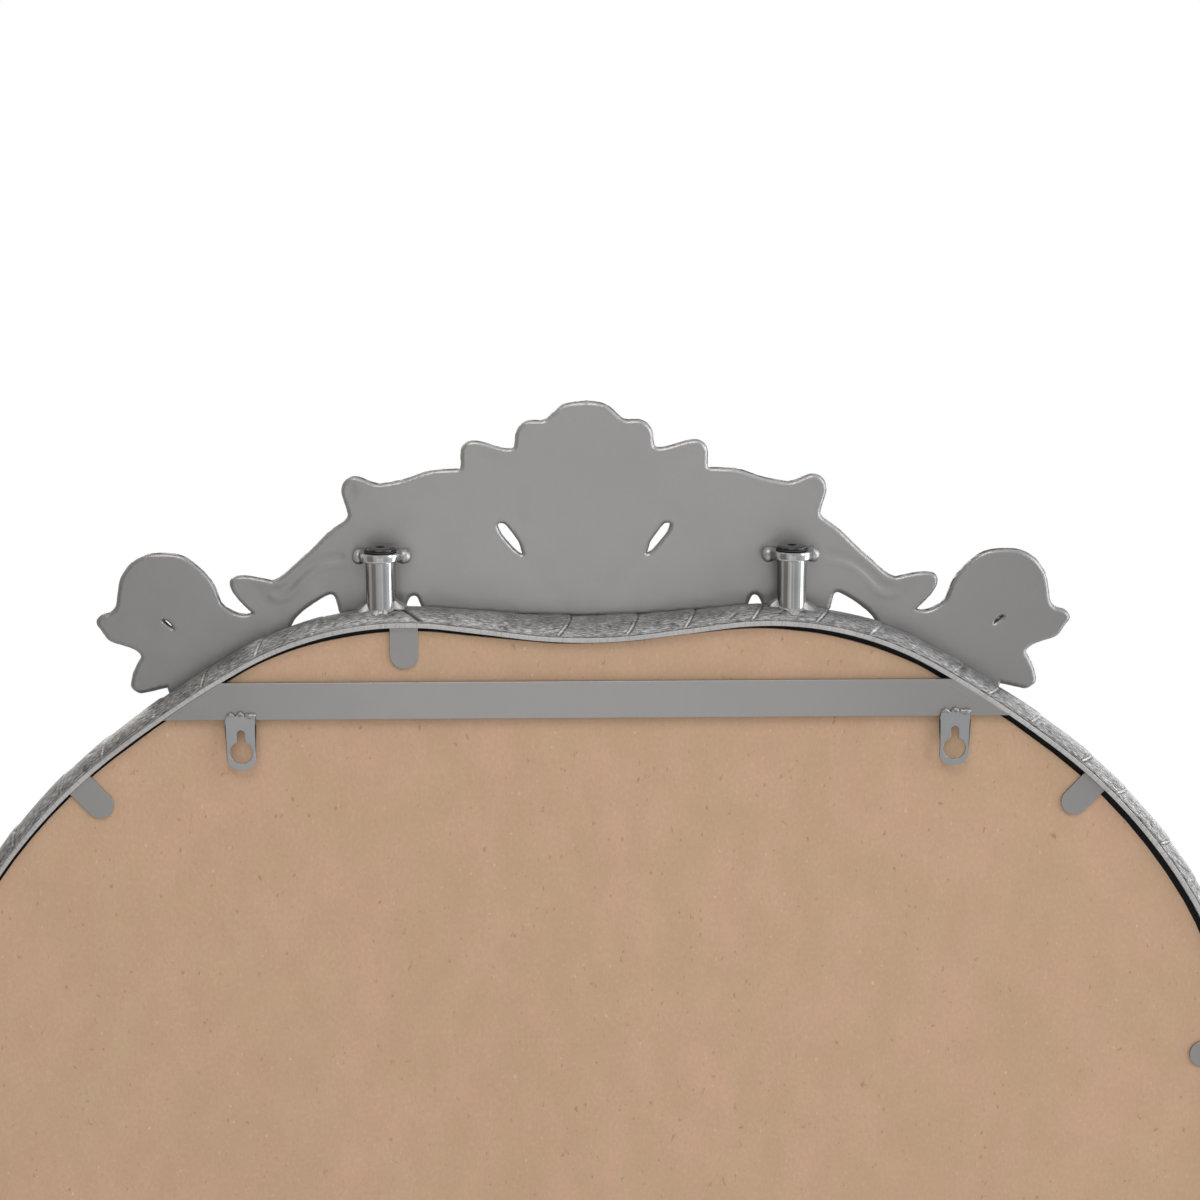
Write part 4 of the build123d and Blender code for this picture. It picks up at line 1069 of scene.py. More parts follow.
def seg_dist(px, pz, A, B):
    """Distance from points to a set of segments, with the nearest segment's index and fraction."""
    best = np.full(len(px), 1e9); bi = np.zeros(len(px), int); bt = np.zeros(len(px))
    for k in range(len(A)):
        d = B[k] - A[k]
        l2 = max(d @ d, 1e-12)
        t = np.clip(((px - A[k, 0]) * d[0] + (pz - A[k, 1]) * d[1]) / l2, 0, 1)
        dd = (px - A[k, 0] - t * d[0]) ** 2 + (pz - A[k, 1] - t * d[1]) ** 2
        m = dd < best
        best[m] = dd[m]; bi[m] = k; bt[m] = t[m]
    return np.sqrt(best), bi, bt


def stroke(u, w, path, width, height, veins=0.0, vein_step=7.0, groove=0.0, sharp=2.2, tip=0.0):
    """Height of one leaf or scroll stroke at the points: rounded across, swelling and tapering along."""
    P = spline(path, 2.0) if len(path) > 2 else np.asarray(path, float)
    A, B = P[:-1], P[1:]
    L = np.r_[0, np.cumsum(np.hypot(*(B - A).T))]
    wmax = max(width)
    m = (u > P[:, 0].min() - wmax - 1) & (u < P[:, 0].max() + wmax + 1) & (w > P[:, 1].min() - wmax - 1) & (w < P[:, 1].max() + wmax + 1)
    out = np.zeros(len(u)); cav = np.zeros(len(u))
    if not m.any():
        return out, cav
    x, z = u[m], w[m]
    d, bi, bt = seg_dist(x, z, A, B)
    s = (L[bi] + bt * (L[bi + 1] - L[bi]))
    f = s / L[-1]
    dv = B[bi] - A[bi]
    side = np.sign(dv[:, 0] * (z - A[bi, 1]) - dv[:, 1] * (x - A[bi, 0]))
    W = np.interp(f, np.linspace(0, 1, len(width)), width)
    H = np.interp(f, np.linspace(0, 1, len(height)), height)
    t = d / np.maximum(W, 0.01)
    inside = t < 1
    cross = np.where(inside, (1 - np.minimum(t, 1) ** sharp) ** 0.62, 0)
    h = H * cross
    c = np.zeros_like(h)
    if groove:
        g = np.exp(-(d / (0.13 * np.maximum(W, 1))) ** 2)
        h = h - groove * g * inside
        c = np.maximum(c, g * 0.8)
    if veins:
        ph = (s - 0.75 * d) / vein_step
        v = 0.5 + 0.5 * np.cos(2 * pi * ph)
        k = smooth(0.12, 0.35, t) * (1 - smooth(0.9, 1.0, t))
        h = h - veins * (1 - v ** 0.6) * k
        c = np.maximum(c, (1 - smooth(0.0, 0.5, v)) * k * 0.9)
    out[m] = np.where(inside, h, 0)
    cav[m] = np.where(inside, c, 0)
    return out, cav


def spiral(cu, cw, r0, r1, a0, turns, n=60):
    t = np.linspace(0, 1, n)
    r = r0 + (r1 - r0) * t ** 0.85
    a = radians(a0) + turns * 2 * pi * t
    return np.stack([cu + r * np.cos(a), cw + r * np.sin(a)], -1)


def front_relief(u, w, edge):
    """Relief of the crest's front over its plate, for one side (u >= 0), with hollows for the dark wax."""
    H = np.zeros(len(u)); C = np.zeros(len(u)); top = np.zeros(len(u), int)

    def put(h, c, soft=0.0):
        nonlocal H, C
        m = h > H
        gap = np.abs(h - H)
        seam = np.where((h > 0.4) & (H > 0.4), np.exp(-(gap / 0.9) ** 2), 0.0)
        C = np.where(m, c, C)
        C = np.maximum(C, seam * 0.75)
        H = np.maximum(h, H)
    S = lambda *a, **k: stroke(u, w, *a, **k)
    # low field
    base = 1.2 * smooth(0.5, 5.0, edge)
    H = base.copy()
    # lower leaves over the seat
    put(*S([(2, 84), (34, 84), (62, 88), (84, 92)], [6, 9, 8, 3], [3.2, 4.4, 3.8, 2.0], veins=0.9, vein_step=6, groove=0.9))
    put(*S([(70, 96), (92, 90), (116, 90), (136, 94)], [6, 8, 7, 3], [3.0, 4.2, 3.6, 1.8], veins=0.9, vein_step=6, groove=0.9))
    put(*S([(196, 66), (214, 58), (232, 46), (246, 34)], [7, 10, 8, 4], [3.0, 4.6, 3.8, 2.2], veins=0.9, vein_step=6.5, groove=0.9))
    # side acanthus under the shoulder
    put(*S([(46, 104), (66, 122), (92, 138), (116, 145), (132, 146)], [8, 13, 13, 9, 6], [4.0, 5.6, 6.0, 5.4, 4.2], veins=1.3, vein_step=8.5, groove=1.2))
    put(*S([(54, 120), (66, 138), (80, 151)], [7, 9, 5], [4.0, 5.4, 3.6], veins=1.0, vein_step=6.5, groove=1.0))
    put(*S([(82, 132), (96, 143), (108, 148)], [6, 7, 4], [4.6, 6.2, 4.0], veins=0.8, vein_step=5.5, groove=0.9))
    put(*S([(116, 140), (126, 147), (133, 146), (133, 138), (127, 135)], [6, 6.5, 5.5, 5, 3.5], [6.0, 7.2, 7.2, 6.4, 5.2], groove=0.7))
    # palmette lobes, outermost first
    put(*S([(22, 112), (40, 138), (52, 155), (61, 166)], [6, 10, 12, 7], [4.5, 6.6, 7.2, 5.2], veins=1.3, vein_step=7.5, groove=1.3))
    put(*S([(13, 114), (22, 142), (28, 163), (31, 178)], [5, 8.5, 10, 6.5], [5.0, 7.2, 8.0, 6.0], veins=1.2, vein_step=7.0, groove=1.2))
    put(*S([(-0.01, 112), (0.0, 140), (0.0, 168), (0.0, 188)], [6, 12, 17, 9], [5.6, 8.2, 9.2, 6.4], veins=1.4, vein_step=8.0, groove=0.0))
    put(*S([(-0.01, 120), (0.0, 150), (0.0, 181)], [2.4, 3.6, 1.6], [7.6, 10.4, 8.0]))
    # long S scroll out to the horn's foot
    put(*S([(28, 100), (48, 94), (78, 100), (108, 110), (134, 112), (154, 102), (170, 90), (186, 86), (197, 90)],
           [5, 8, 9.5, 10, 10.5, 9, 8, 7.5, 4], [5.0, 7.0, 7.6, 8.0, 8.2, 7.6, 7.0, 6.4, 4.4], veins=1.1, vein_step=9.0, groove=1.3))
    put(*S([(52, 101), (86, 112), (116, 121), (132, 124)], [3.0, 4.2, 4.0, 2.0], [7.4, 8.8, 8.4, 6.0]))
    put(*S([(136, 104), (152, 94), (164, 82)], [4, 5, 2.5], [6.6, 8.2, 6.0], groove=0.6))
    # shell at the middle
    rr = np.hypot(u, w - 100.0)
    aa = np.arctan2(w - 100.0, u)
    shell = np.where(rr < 17.5, 8.4 * np.sqrt(np.clip(1 - (rr / 17.5) ** 2.6, 0, 1)) + 0.4, 0)
    flute = 0.5 + 0.5 * np.cos(aa * 14)
    shell = shell - np.where((rr < 16.5) & (rr > 6.0), 1.0 * (1 - flute ** 0.7), 0)
    sc = np.where((rr < 16.5) & (rr > 6.0), (1 - smooth(0, 0.5, flute)) * 0.9, 0)
    put(shell, sc)
    pearl = np.where(rr < 6.2, 8.8 + 2.4 * np.sqrt(np.clip(1 - (rr / 6.2) ** 2, 0, 1)), 0)
    put(pearl, np.where(rr > 5.2, 0.9, 0.0))
    # end volute
    sp = spiral(239.5, 81.5, 24.5, 4.0, -118.0, 1.62)
    put(*S(sp[::3].tolist(), [7.0, 7.0, 6.2, 5.2, 4.2, 3.6], [5.0, 7.0, 7.4, 7.2, 7.0, 7.4], groove=0.9))
    rv = np.hypot(u - 240.0, w - 82.0)
    put(np.where(rv < 6.6, 6.6 + 2.6 * np.sqrt(np.clip(1 - (rv / 6.6) ** 2, 0, 1)), 0), np.where(rv > 5.4, 0.9, 0.0))
    put(*S([(196, 78), (206, 70), (220, 60), (228, 58)], [4, 6, 6.5, 4], [5.0, 6.6, 6.6, 4.8], groove=0.8))
    put(*S([(250, 62), (262, 62), (270, 66), (277, 70)], [6, 6.5, 5.5, 2.5], [5.6, 6.2, 5.2, 2.6], veins=0.7, vein_step=5, groove=0.8))
    put(*S([(240, 52), (250, 46), (256, 38), (258, 31)], [7, 7, 5.5, 3], [5.4, 6.0, 5.0, 2.6], veins=0.8, vein_step=5, groove=0.8))
    return H, C


# hollows of the flat back: (u, z, radius along u, radius along z, turn, depth)
back_dents = [
    (53.5, 163.0, 10.0, 5.5, 20, 0.7), (33.5, 177.5, 4.2, 3.6, 0, 0.45), (133.0, 146.0, 4.2, 5.6, 0, 0.8), (50.5, 131.5, 5.5, 8.0, 25, 0.55),
    (185.7, 82.9, 8.5, 6.5, 0, 0.9), (190.0, 90.0, 8.0, 4.5, 20, 0.5), (252.0, 66.0, 11.0, 6.0, 0, 0.3), (56.0, 118.0, 11.0, 10.0, 0, 0.35),
]
back_folds = [   # (path, half width, depth)
    ([(43, 158), (39, 142), (38, 130)], 6.0, 0.40), ([(34, 112), (28, 101), (19, 89)], 6.5, 0.45),
    ([(69, 148), (73, 130), (78, 106), (83, 84)], 8.5, 0.50), ([(140, 108), (151, 105.5), (163, 97.5), (172, 89.5), (179, 88)], 2.6, 0.75),
    ([(124, 108), (108, 118), (92, 124)], 10.0, 0.35),
]
back_ridges = [([(138.5, 103), (149.7, 101.7), (161, 93.8), (169.3, 85.2), (177.8, 83.8), (179.9, 88.8)], 1.9, 0.45), ([(28, 128), (30, 110)], 6.0, 0.2)]


def back_relief(u, w, edge, sgn):
    """Depth of the back's soft hollows, positive towards the front."""
    d = np.zeros(len(u))
    for a, b, ra, rb, t, h in back_dents:
        c, s = cos(radians(t)), sin(radians(t))
        x, z = (u - a) * c + (w - b) * s, -(u - a) * s + (w - b) * c
        d += h * np.exp(-(x / ra) ** 2 - (z / rb) ** 2)
    for path, hw, h in back_folds:
        P = spline(path, 2.0)
        k, _, _ = seg_dist(u, w, P[:-1], P[1:])
        d += h * np.exp(-(k / hw) ** 2)
    for path, hw, h in back_ridges:
        P = spline(path, 2.0)
        k, _, _ = seg_dist(u, w, P[:-1], P[1:])
        d -= h * np.exp(-(k / hw) ** 2)
    d += 0.35 * fnoise(u * sgn / 33.0 + 5, w / 38.0, 14, 2) + 0.05 * fnoise(u * sgn / 7.0, w / 7.0, 15, 2)
    # rolled edge
    r = 1.15
    e = np.clip(edge / r, 0, 1)
    d += 0.62 * (1 - np.sqrt(np.clip(1 - (1 - e) ** 2, 0, 1)))
    return d


def build_crest():
    outer = crest_outline()
    seat = seat_polygon()
    holes = []
    for sx in (1, -1):
        for lp, sm in ((lens_slot, True), (volute_slit, True), (arch_opening, False), (side_opening, False)):
            q = np.array(lp, float)
            if sm:
                q = spline(q, 0.8, closed=True)
            else:
                q = np.vstack([q[:1], spline(q[1:-1], 0.9), q[-1:]])
            q = q * [sx, 1]
            holes.append(q if sx == 1 else q[::-1])

    def ccw(p):
        a = np.sum(p[:, 0] * np.roll(p[:, 1], -1) - np.roll(p[:, 0], -1) * p[:, 1])
        return p if a > 0 else p[::-1]
    loops = [ccw(outer), ccw(seat)] + [ccw(h) for h in holes]
    bnd = np.vstack([outer, seat] + holes)
    # inner points on a triangular lattice, clear of every outline
    step = 1.25
    gx = np.arange(-282, 283, step); gz = np.arange(-10, 197, step * 0.866)
    X, Z = np.meshgrid(gx, gz); X[1::2] += step / 2
    X, Z = X.ravel(), Z.ravel()
    from mathutils.kdtree import KDTree
    kd = KDTree(len(bnd))
    for k, p in enumerate(bnd):
        kd.insert((p[0], p[1], 0), k)
    kd.balance()
    keep = np.array([kd.find((a, b, 0))[2] > 0.62 for a, b in zip(X, Z)])
    pts = []
    faces = []
    for lp in loops:
        n0 = len(pts)
        pts += [Vector((float(a), float(b))) for a, b in lp]
        faces.append(list(range(n0, n0 + len(lp))))
    # cheap test: only lattice points that may lie inside the outer line
    def inside(poly, x, z):
        c = np.zeros(len(x), bool)
        a, b = poly, np.roll(poly, -1, 0)
        for (x1, z1), (x2, z2) in zip(a, b):
            m = ((z1 > z) != (z2 > z)) & (x < (x2 - x1) * (z - z1) / (z2 - z1 + 1e-30) + x1)
            c ^= m
        return c
    ok = keep & inside(outer, X, Z) & ~inside(seat, X, Z)
    for h in holes:
        ok &= ~inside(h, X, Z)
    pts += [Vector((float(a), float(b))) for a, b in zip(X[ok], Z[ok])]
    vs, es, fs, ov, oe, of = delaunay_2d_cdt(pts, [], faces, 0, 1e-7)
    tri = []
    for f, src in zip(fs, of):
        if 0 in src and len(src) == 1:
            tri.append(f)
    tri = np.array(tri)
    used = np.unique(tri)
    remap = -np.ones(len(vs), int); remap[used] = np.arange(len(used))
    tri = remap[tri]
    P = np.array([(vs[k][0], vs[k][1]) for k in used])
    # counter-clockwise in (x, z)
    a, b, c = P[tri[:, 0]], P[tri[:, 1]], P[tri[:, 2]]
    ar = (b[:, 0] - a[:, 0]) * (c[:, 1] - a[:, 1]) - (b[:, 1] - a[:, 1]) * (c[:, 0] - a[:, 0])
    tri[ar < 0] = tri[ar < 0][:, ::-1]
    # boundary edges
    e = np.vstack([tri[:, [0, 1]], tri[:, [1, 2]], tri[:, [2, 0]]])
    key = np.sort(e, 1); _, inv, cnt = np.unique(key, axis=0, return_inverse=True, return_counts=True)
    be = e[cnt[inv.ravel()] == 1]
    # distance to the boundary
    bv = np.unique(be)
    kd = KDTree(len(be))
    mid = (P[be[:, 0]] + P[be[:, 1]]) / 2
    kd2 = KDTree(len(bv) + len(mid))
    k = 0
    for q in P[bv]:
        kd2.insert((q[0], q[1], 0), k); k += 1
    for q in mid:
        kd2.insert((q[0], q[1], 0), k); k += 1
    kd2.balance()
    edge = np.array([kd2.find((q[0], q[1], 0))[2] for q in P])
    edge[bv] = 0
    # points that lie on the seat line; their edge walls get no bulge or wobble
    zs_, _ = seat_z(P[:, 0] + 1.0)
    on_seat = np.abs(P[:, 1] - zs_ - 0.3) < 0.4
    return P, tri, be, bv, edge, on_seat


P2, TRI, BE, BV, EDGE, ON_SEAT = build_crest()
uu, ww = np.abs(P2[:, 0]), P2[:, 1]
sg = np.where(P2[:, 0] >= 0, 1.0, -1.0)
Hf, Cf = front_relief(uu, ww, EDGE)
Hf = Hf + 0.10 * fnoise(P2[:, 0] / 3.0, ww / 3.0, 44, 3) + 0.05 * fnoise(P2[:, 0] / 1.3, ww / 1.3, 45, 2)
# falls away to a thin edge all round
fall = smooth(0.0, 3.4, EDGE)
y_front = -(crest_front_base := 31.0) - (Hf * (0.25 + 0.75 * fall)) - 1.6 * fall
y_back = -26.0 - back_relief(uu, ww, EDGE, sg)
n = len(P2)

# boundary normals in the plane
bn = np.zeros((n, 2))
for a, b in BE:
    d = P2[b] - P2[a]
    nn = np.array([d[1], -d[0]]) / max(np.hypot(*d), 1e-9)
    bn[a] += nn; bn[b] += nn
ln = np.maximum(np.linalg.norm(bn, axis=1), 1e-9)[:, None]
bn = bn / ln

rings = 6
V = [np.stack([P2[:, 0] + CX, y_back, ww], -1), np.stack([P2[:, 0] + CX, y_front, ww], -1)]
F = [TRI, TRI[:, ::-1] + n]
FM = [np.zeros(len(TRI), int), np.ones(len(TRI), int)]
idx = -np.ones(n, int); idx[BV] = np.arange(len(BV))
ring_off = []
m = len(BV)
pos = 2 * n
seatm = ON_SEAT[BV]
for r in range(1, rings):
    t = r / rings
    bul = np.where(P2[BV, 0] < 0, 1.25, 0.95) * np.sin(pi * t) ** 0.7 * (~seatm)
    q = P2[BV] + bn[BV] * bul[:, None]
    wobble = 0.26 * fnoise(q[:, 0] / 2.6 + r * 0.6, q[:, 1] / 2.6 + r * 1.3, 51, 2) * (~seatm) * sin(pi * t)
    q = q + bn[BV] * wobble[:, None]
    y = y_back[BV] * (1 - t) + y_front[BV] * t
    V.append(np.stack([q[:, 0] + CX, y, q[:, 1]], -1))
    ring_off.append(pos); pos += m
V = np.vstack(V)


def ring_index(v, r):
    if r == 0:
        return v
    if r == rings:
        return v + n
    return ring_off[r - 1] + idx[v]


wall = []
wm = []
for a, b in BE:
    for r in range(rings):
        wall.append([ring_index(b, r), ring_index(a, r), ring_index(a, r + 1), ring_index(b, r + 1)])
        wm.append(1 if r >= 1 else 0)
faces = [list(map(int, f)) for f in np.vstack(F)] + [list(map(int, f)) for f in wall]
fmat = np.concatenate(FM + [np.array(wm)])
cav = np.concatenate([np.zeros(n), np.clip(Cf, 0, 1)] + [np.clip(0.60 + 1.1 * fnoise(P2[BV, 0] / 2.6 + r * 0.7, ww[BV] / 2.6, 61, 2) + (0.25 if r == 1 else 0.0), 0, 1) for r in range(1, rings)])
hi = smooth(5.0, 9.5, Hf) * 0.8
high = np.concatenate([np.zeros(n), hi] + [np.clip(0.45 + 1.0 * fnoise(P2[BV, 0] / 2.2, ww[BV] / 2.2 + r * 0.7, 62, 2), 0, 1) for r in range(1, rings)])
crest = make("crest_casting", V, faces, "crest", [M["crest_back"], M["crest_front"]], ("crest",), 60.0, fmat, {"cav": cav, "high": high})
outward(crest)

# ================================================================ posts, lugs, screws
post_x, post_y, post_r, post_top = 116.5, -13.8, 8.5, 108.4
lug_r, lug_t = 12.4, 4.6
washer_r, washer_t = 9.2, 1.0
head_r, head_h = 8.7, 1.8
shank_r, shank_len = 3.0, 24.0

for side, sx in (("left", 1), ("right", -1)):
    x = AX + sx * post_x
    body_prof = [(8.5, 80.2), (8.5, 82.0), (8.5, 90.0), (8.5, 100.0), (8.5, 107.3), (8.35, 107.9), (7.9, 108.35), (7.2, 108.4), (5.0, 108.4),
                 (3.5, 108.4), (3.15, 108.0), (3.1, 107.0), (3.1, 84.0), (2.0, 83.2), (0.02, 83.0), (0.02, 80.2)]
    def painted_dark_reflection(T, R, Z):
        """Painted dark reflection down the side towards +X, fading round to the wall side, with weaker painted dark
        bands facing the wall and round towards -X.
        """
        d = np.degrees(T)                          # 0 faces +X, 90 faces the wall
        k = smooth(50, 12, d) * (d < 90) + smooth(300, 345, d) * (d > 180)
        k = np.maximum(k, 0.45 * np.exp(-((d - 88) / 7.0) ** 2))
        k = np.maximum(k, 0.55 * smooth(158, 172, d) * smooth(230, 200, d))
        return np.where(R > 7.0, k * 0.80, 0.0)
    lathe("post_turned_" + side, body_prof, x, post_y, "root", [M["turned"]], ("post_" + side,), 96, None, 30.0, painted_dark_reflection)
    z0 = post_top
    lp = [(12.4, z0 + 0.9), (12.4, z0 + 3.7), (12.15, z0 + 4.3), (11.6, z0 + 4.6), (9.0, z0 + 4.6), (6.0, z0 + 4.6), (3.9, z0 + 4.6), (3.4, z0 + 4.2),
          (3.4, z0 + 0.4), (3.8, z0), (6.0, z0), (9.0, z0), (11.7, z0), (12.2, z0 + 0.3)]
    # the flange's outer rim takes a weaker copy of the painted dark reflection
    lathe("lug_flange_" + side, lp, x, post_y, "crest", [M["flange"]], ("crest_lug_" + side,), 96, None, 30.0,
          lambda T, R, Z: painted_dark_reflection(T, R, Z) * 0.35 * (R > 11.0) * (np.degrees(T) < 140))
    z1 = z0 + lug_t
    wp = [(9.2, z1 + 0.35), (9.2, z1 + 0.68), (9.0, z1 + 0.92), (8.5, z1 + 1.0), (5.0, z1 + 1.0), (3.6, z1 + 1.0), (3.3, z1 + 0.8), (3.3, z1 + 0.2),
          (3.6, z1), (5.0, z1), (8.5, z1), (9.0, z1 + 0.12)]
    lathe("screw_washer_ring_" + side, wp, x, post_y, "crest", [M["rubber"]], ("screw_washer_" + side,), 80,
          lambda T, R, Z: 0.06 * np.sin(3 * T) * (R > 8), 40.0)

    # screw: domed head with a hex socket, threaded shank
    z2 = z1 + washer_t
    seg = 96
    th = np.linspace(0, 2 * pi, seg, endpoint=False)
    hexr = 2.9 * cos(pi / 6) / np.cos((th + pi / 6) % (pi / 3) - pi / 6)
    rings_ = []
    ringset = []
    zb = z2 - shank_len
    for zz, rr in ((zb, 0.05), (zb, 1.6), (zb + 0.35, 2.4)):
        ringset.append((np.full(seg, rr), np.full(seg, zz)))
    for zz in np.arange(zb + 0.6, z2 - 4.2, 0.125):
        ph = ((zz - zb) / 1.0 - th / (2 * pi)) % 1.0
        tri_w = 1 - np.abs(ph * 2 - 1)
        fade = min(1, (zz - zb - 0.5) / 1.0) * min(1, max(0.0, (z2 - 4.2 - zz) / 0.8))
        ringset.append((2.55 + 0.43 * np.clip(tri_w * 1.35, 0, 1) * fade + 0.0 * th, np.full(seg, zz)))
    for zz, rr in ((z2 - 4.0, 2.7), (z2 - 3.6, 2.98), (z2 - 0.1, 2.98), (z2, 3.2), (z2 + 0.02, 5.5), (z2 + 0.02, 8.2), (z2 + 0.12, 8.6), (z2 + 0.35, 8.7),
                   (z2 + 0.75, 8.68), (z2 + 1.10, 8.50), (z2 + 1.38, 8.15), (z2 + 1.58, 7.6), (z2 + 1.70, 6.8), (z2 + 1.77, 5.6), (z2 + 1.80, 4.2), (z2 + 1.80, 3.5)):
        ringset.append((np.full(seg, rr), np.full(seg, zz)))
    for zz, k in ((z2 + 1.77, 1.05), (z2 + 1.66, 1.0), (z2 + 1.2, 1.0), (z2 + 0.75, 1.0), (z2 + 0.66, 0.95)):
        ringset.append((hexr * k, np.full(seg, zz)))
    ringset.append((np.full(seg, 1.2), np.full(seg, z2 + 0.60)))
    ringset.append((np.full(seg, 0.05), np.full(seg, z2 + 0.55)))
    V = []
    for rr, zz in ringset:
        V.append(np.stack([x + rr * np.cos(th), post_y + rr * np.sin(th), zz], -1))
    V = np.vstack(V)
    nr = len(ringset)
    F = grid_faces(nr, seg, close_v=True).tolist()
    F.append(list(range(seg))); F.append([(nr - 1) * seg + s for s in range(seg)][::-1])
    o = make("crest_screw_black_" + side, V, F, "screw_" + side, [M["screw"]], ("crest_screw_" + side,), 32.0)
    outward(o)

    # weld that holds the lug to the crest: a thick bead run right round the joint
    nph, nsec = 120, 20
    ph = np.linspace(0, 2 * pi, nph, endpoint=False)
    cph, sph = np.cos(ph), np.sin(ph)
    uneven = fnoise(cph * 2.3 + sx * 4 + 9, sph * 2.3, 73, 3)
    px = x + 12.9 * np.sign(cph) * np.abs(cph) ** 0.82 + 0.35 * fnoise(cph * 3, sph * 3 + sx, 75, 2)
    pz = z0 + 0.6 + np.where(sph > 0, 2.2, 2.6) * np.sign(sph) * np.abs(sph) ** 0.72 + 0.15 * uneven
    py = -25.6 + 5.6 * np.abs(cph) ** 2.2
    pr_ = 1.15 + 2.75 * np.abs(cph) ** 3.2 + 0.25 * uneven
    path = np.stack([px, py, pz], -1)
    tan = np.roll(path, -1, 0) - np.roll(path, 1, 0); tan /= np.linalg.norm(tan, axis=1)[:, None]
    yy = np.array([0.0, 1.0, 0.0])
    n1 = yy - tan * (tan @ yy)[:, None]; n1 /= np.linalg.norm(n1, axis=1)[:, None]
    n2_ = np.cross(tan, n1)
    sa_ = np.linspace(0, 2 * pi, nsec, endpoint=False)
    rip = 0.05 * np.cos(ph * 17 + 1.3 * sx)[:, None]
    rr = pr_[:, None] + rip + 0.14 * fnoise(np.cos(ph)[:, None] * 7 + np.cos(sa_)[None, :] * 1.3, np.sin(ph)[:, None] * 7 + np.sin(sa_)[None, :] * 1.3, 79, 3)
    V = path[:, None, :] + rr[..., None] * (np.cos(sa_)[None, :, None] * n1[:, None, :] + np.sin(sa_)[None, :, None] * n2_[:, None, :])
    V = V.reshape(-1, 3)
    V[:, 1] = np.maximum(V[:, 1], -27.4)
    V[:, 1] = np.minimum(V[:, 1], -15.2)
    F = grid_faces(nph, nsec, close_u=True, close_v=True)
    # painted shade on the weld beside the crest's back and where the flange and post stand over it
    painted_weld_shade = 1 - smooth(-25.4, -23.6, V[:, 1] + 0.25 * fnoise(V[:, 0] / 1.5, V[:, 2] / 1.5, 83, 2))
    painted_weld_shade = np.maximum(painted_weld_shade, 0.9 * smooth(10.5, 8.0, np.abs(V[:, 0] - x)))
    o = make("lug_weld_beads_" + side, V, F, "crest", [M["weld"]], ("lug_welds_" + side,), 80.0, None, {"cav": painted_weld_shade})
    outward(o)

    # foot weld: a low ring dragged up the post, with heavier flat-sided lumps at its sides
    seg = 120
    th = np.linspace(0, 2 * pi, seg, endpoint=False)
    ca, sa = np.cos(th), np.sin(th)
    if sx == 1:
        lumps = [(4, 32, 3.0, 5.2), (174, 30, 3.4, 5.4), (72, 12, 0.9, 1.4), (108, 10, 0.8, 1.2), (250, 30, 2.0, 2.0)]
    else:
        lumps = [(8, 24, 3.4, 4.4), (172, 34, 3.0, 5.6), (95, 20, 0.3, 2.4), (255, 30, 2.0, 2.0)]
    up, outw = np.full(seg, 0.7), np.full(seg, 0.6)
    for c0, wd, hh, ww_ in lumps:
        dth = np.abs((np.degrees(th) - c0 + 180) % 360 - 180)
        kk = np.clip(2.2 * (1 - dth / wd), 0, 1)
        up = np.maximum(up, 0.7 + hh * kk); outw = np.maximum(outw, 0.6 + ww_ * kk ** 0.7)
    up = up + 0.2 * fnoise(ca * 3, sa * 3 + sx, 91, 2); outw = outw + 0.25 * fnoise(ca * 4, sa * 4 + sx, 92, 2)
    pq = np.array(prof_ctrl)[:9]
    mst = (ST[:, 1] > 0)
    ox_, oz_ = ST[mst, 0], ST[mst, 1]
    oo = np.argsort(ox_)

    def top_at(xx, yy_):
        """The moulding's upper surface at (x, y)."""
        return np.interp(xx - AX, ox_[oo], oz_[oo]) + np.interp(-yy_, -pq[:, 1], pq[:, 0])
    # the lowest rings carry painted contact shade where the weld meets the moulding
    V, painted_contact_shade = [], []
    lev = [0.0, 0.0, 0.10, 0.30, 0.55, 0.80, 1.0, 1.0]
    drop = [1.6, 0.35, 0, 0, 0, 0, 0, 0]
    for li, (t, dz_) in enumerate(zip(lev, drop)):
        rr = post_r - 0.08 + (outw + 0.45) * (1 - t) ** 0.95 + (0.35 if li == 0 else 0.0)
        if li == 7:
            rr = np.full(seg, post_r - 1.2)
        vx, vy = x + rr * ca, post_y + rr * sa
        vy = np.clip(vy, -25.2, -0.9)
        zs_ = top_at(vx, np.clip(vy, -14.5, 0))
        zz = zs_ - dz_ + t * up + 0.12 * fnoise(vx / 1.1, vy / 1.1, 95, 2)
        V.append(np.stack([vx, vy, zz], -1)); painted_contact_shade.append(np.full(seg, 1.0 if li < 2 else (0.25 if li == 2 else 0.0)))
    vx, vy = x + (post_r - 1.2) * ca, post_y + (post_r - 1.2) * sa
    V.append(np.stack([vx, vy, top_at(vx, np.clip(vy, -14.5, 0)) - 2.5], -1)); painted_contact_shade.append(np.ones(seg))
    V = np.vstack(V); painted_contact_shade = np.concatenate(painted_contact_shade)
    F = grid_faces(len(lev) + 1, seg, close_u=True, close_v=True)
    o = make("post_foot_skirt_" + side, V, F, "root", [M["foot_weld"]], ("post_foot_welds_" + side,), 24.0, None, {"cav": painted_contact_shade})
    outward(o)

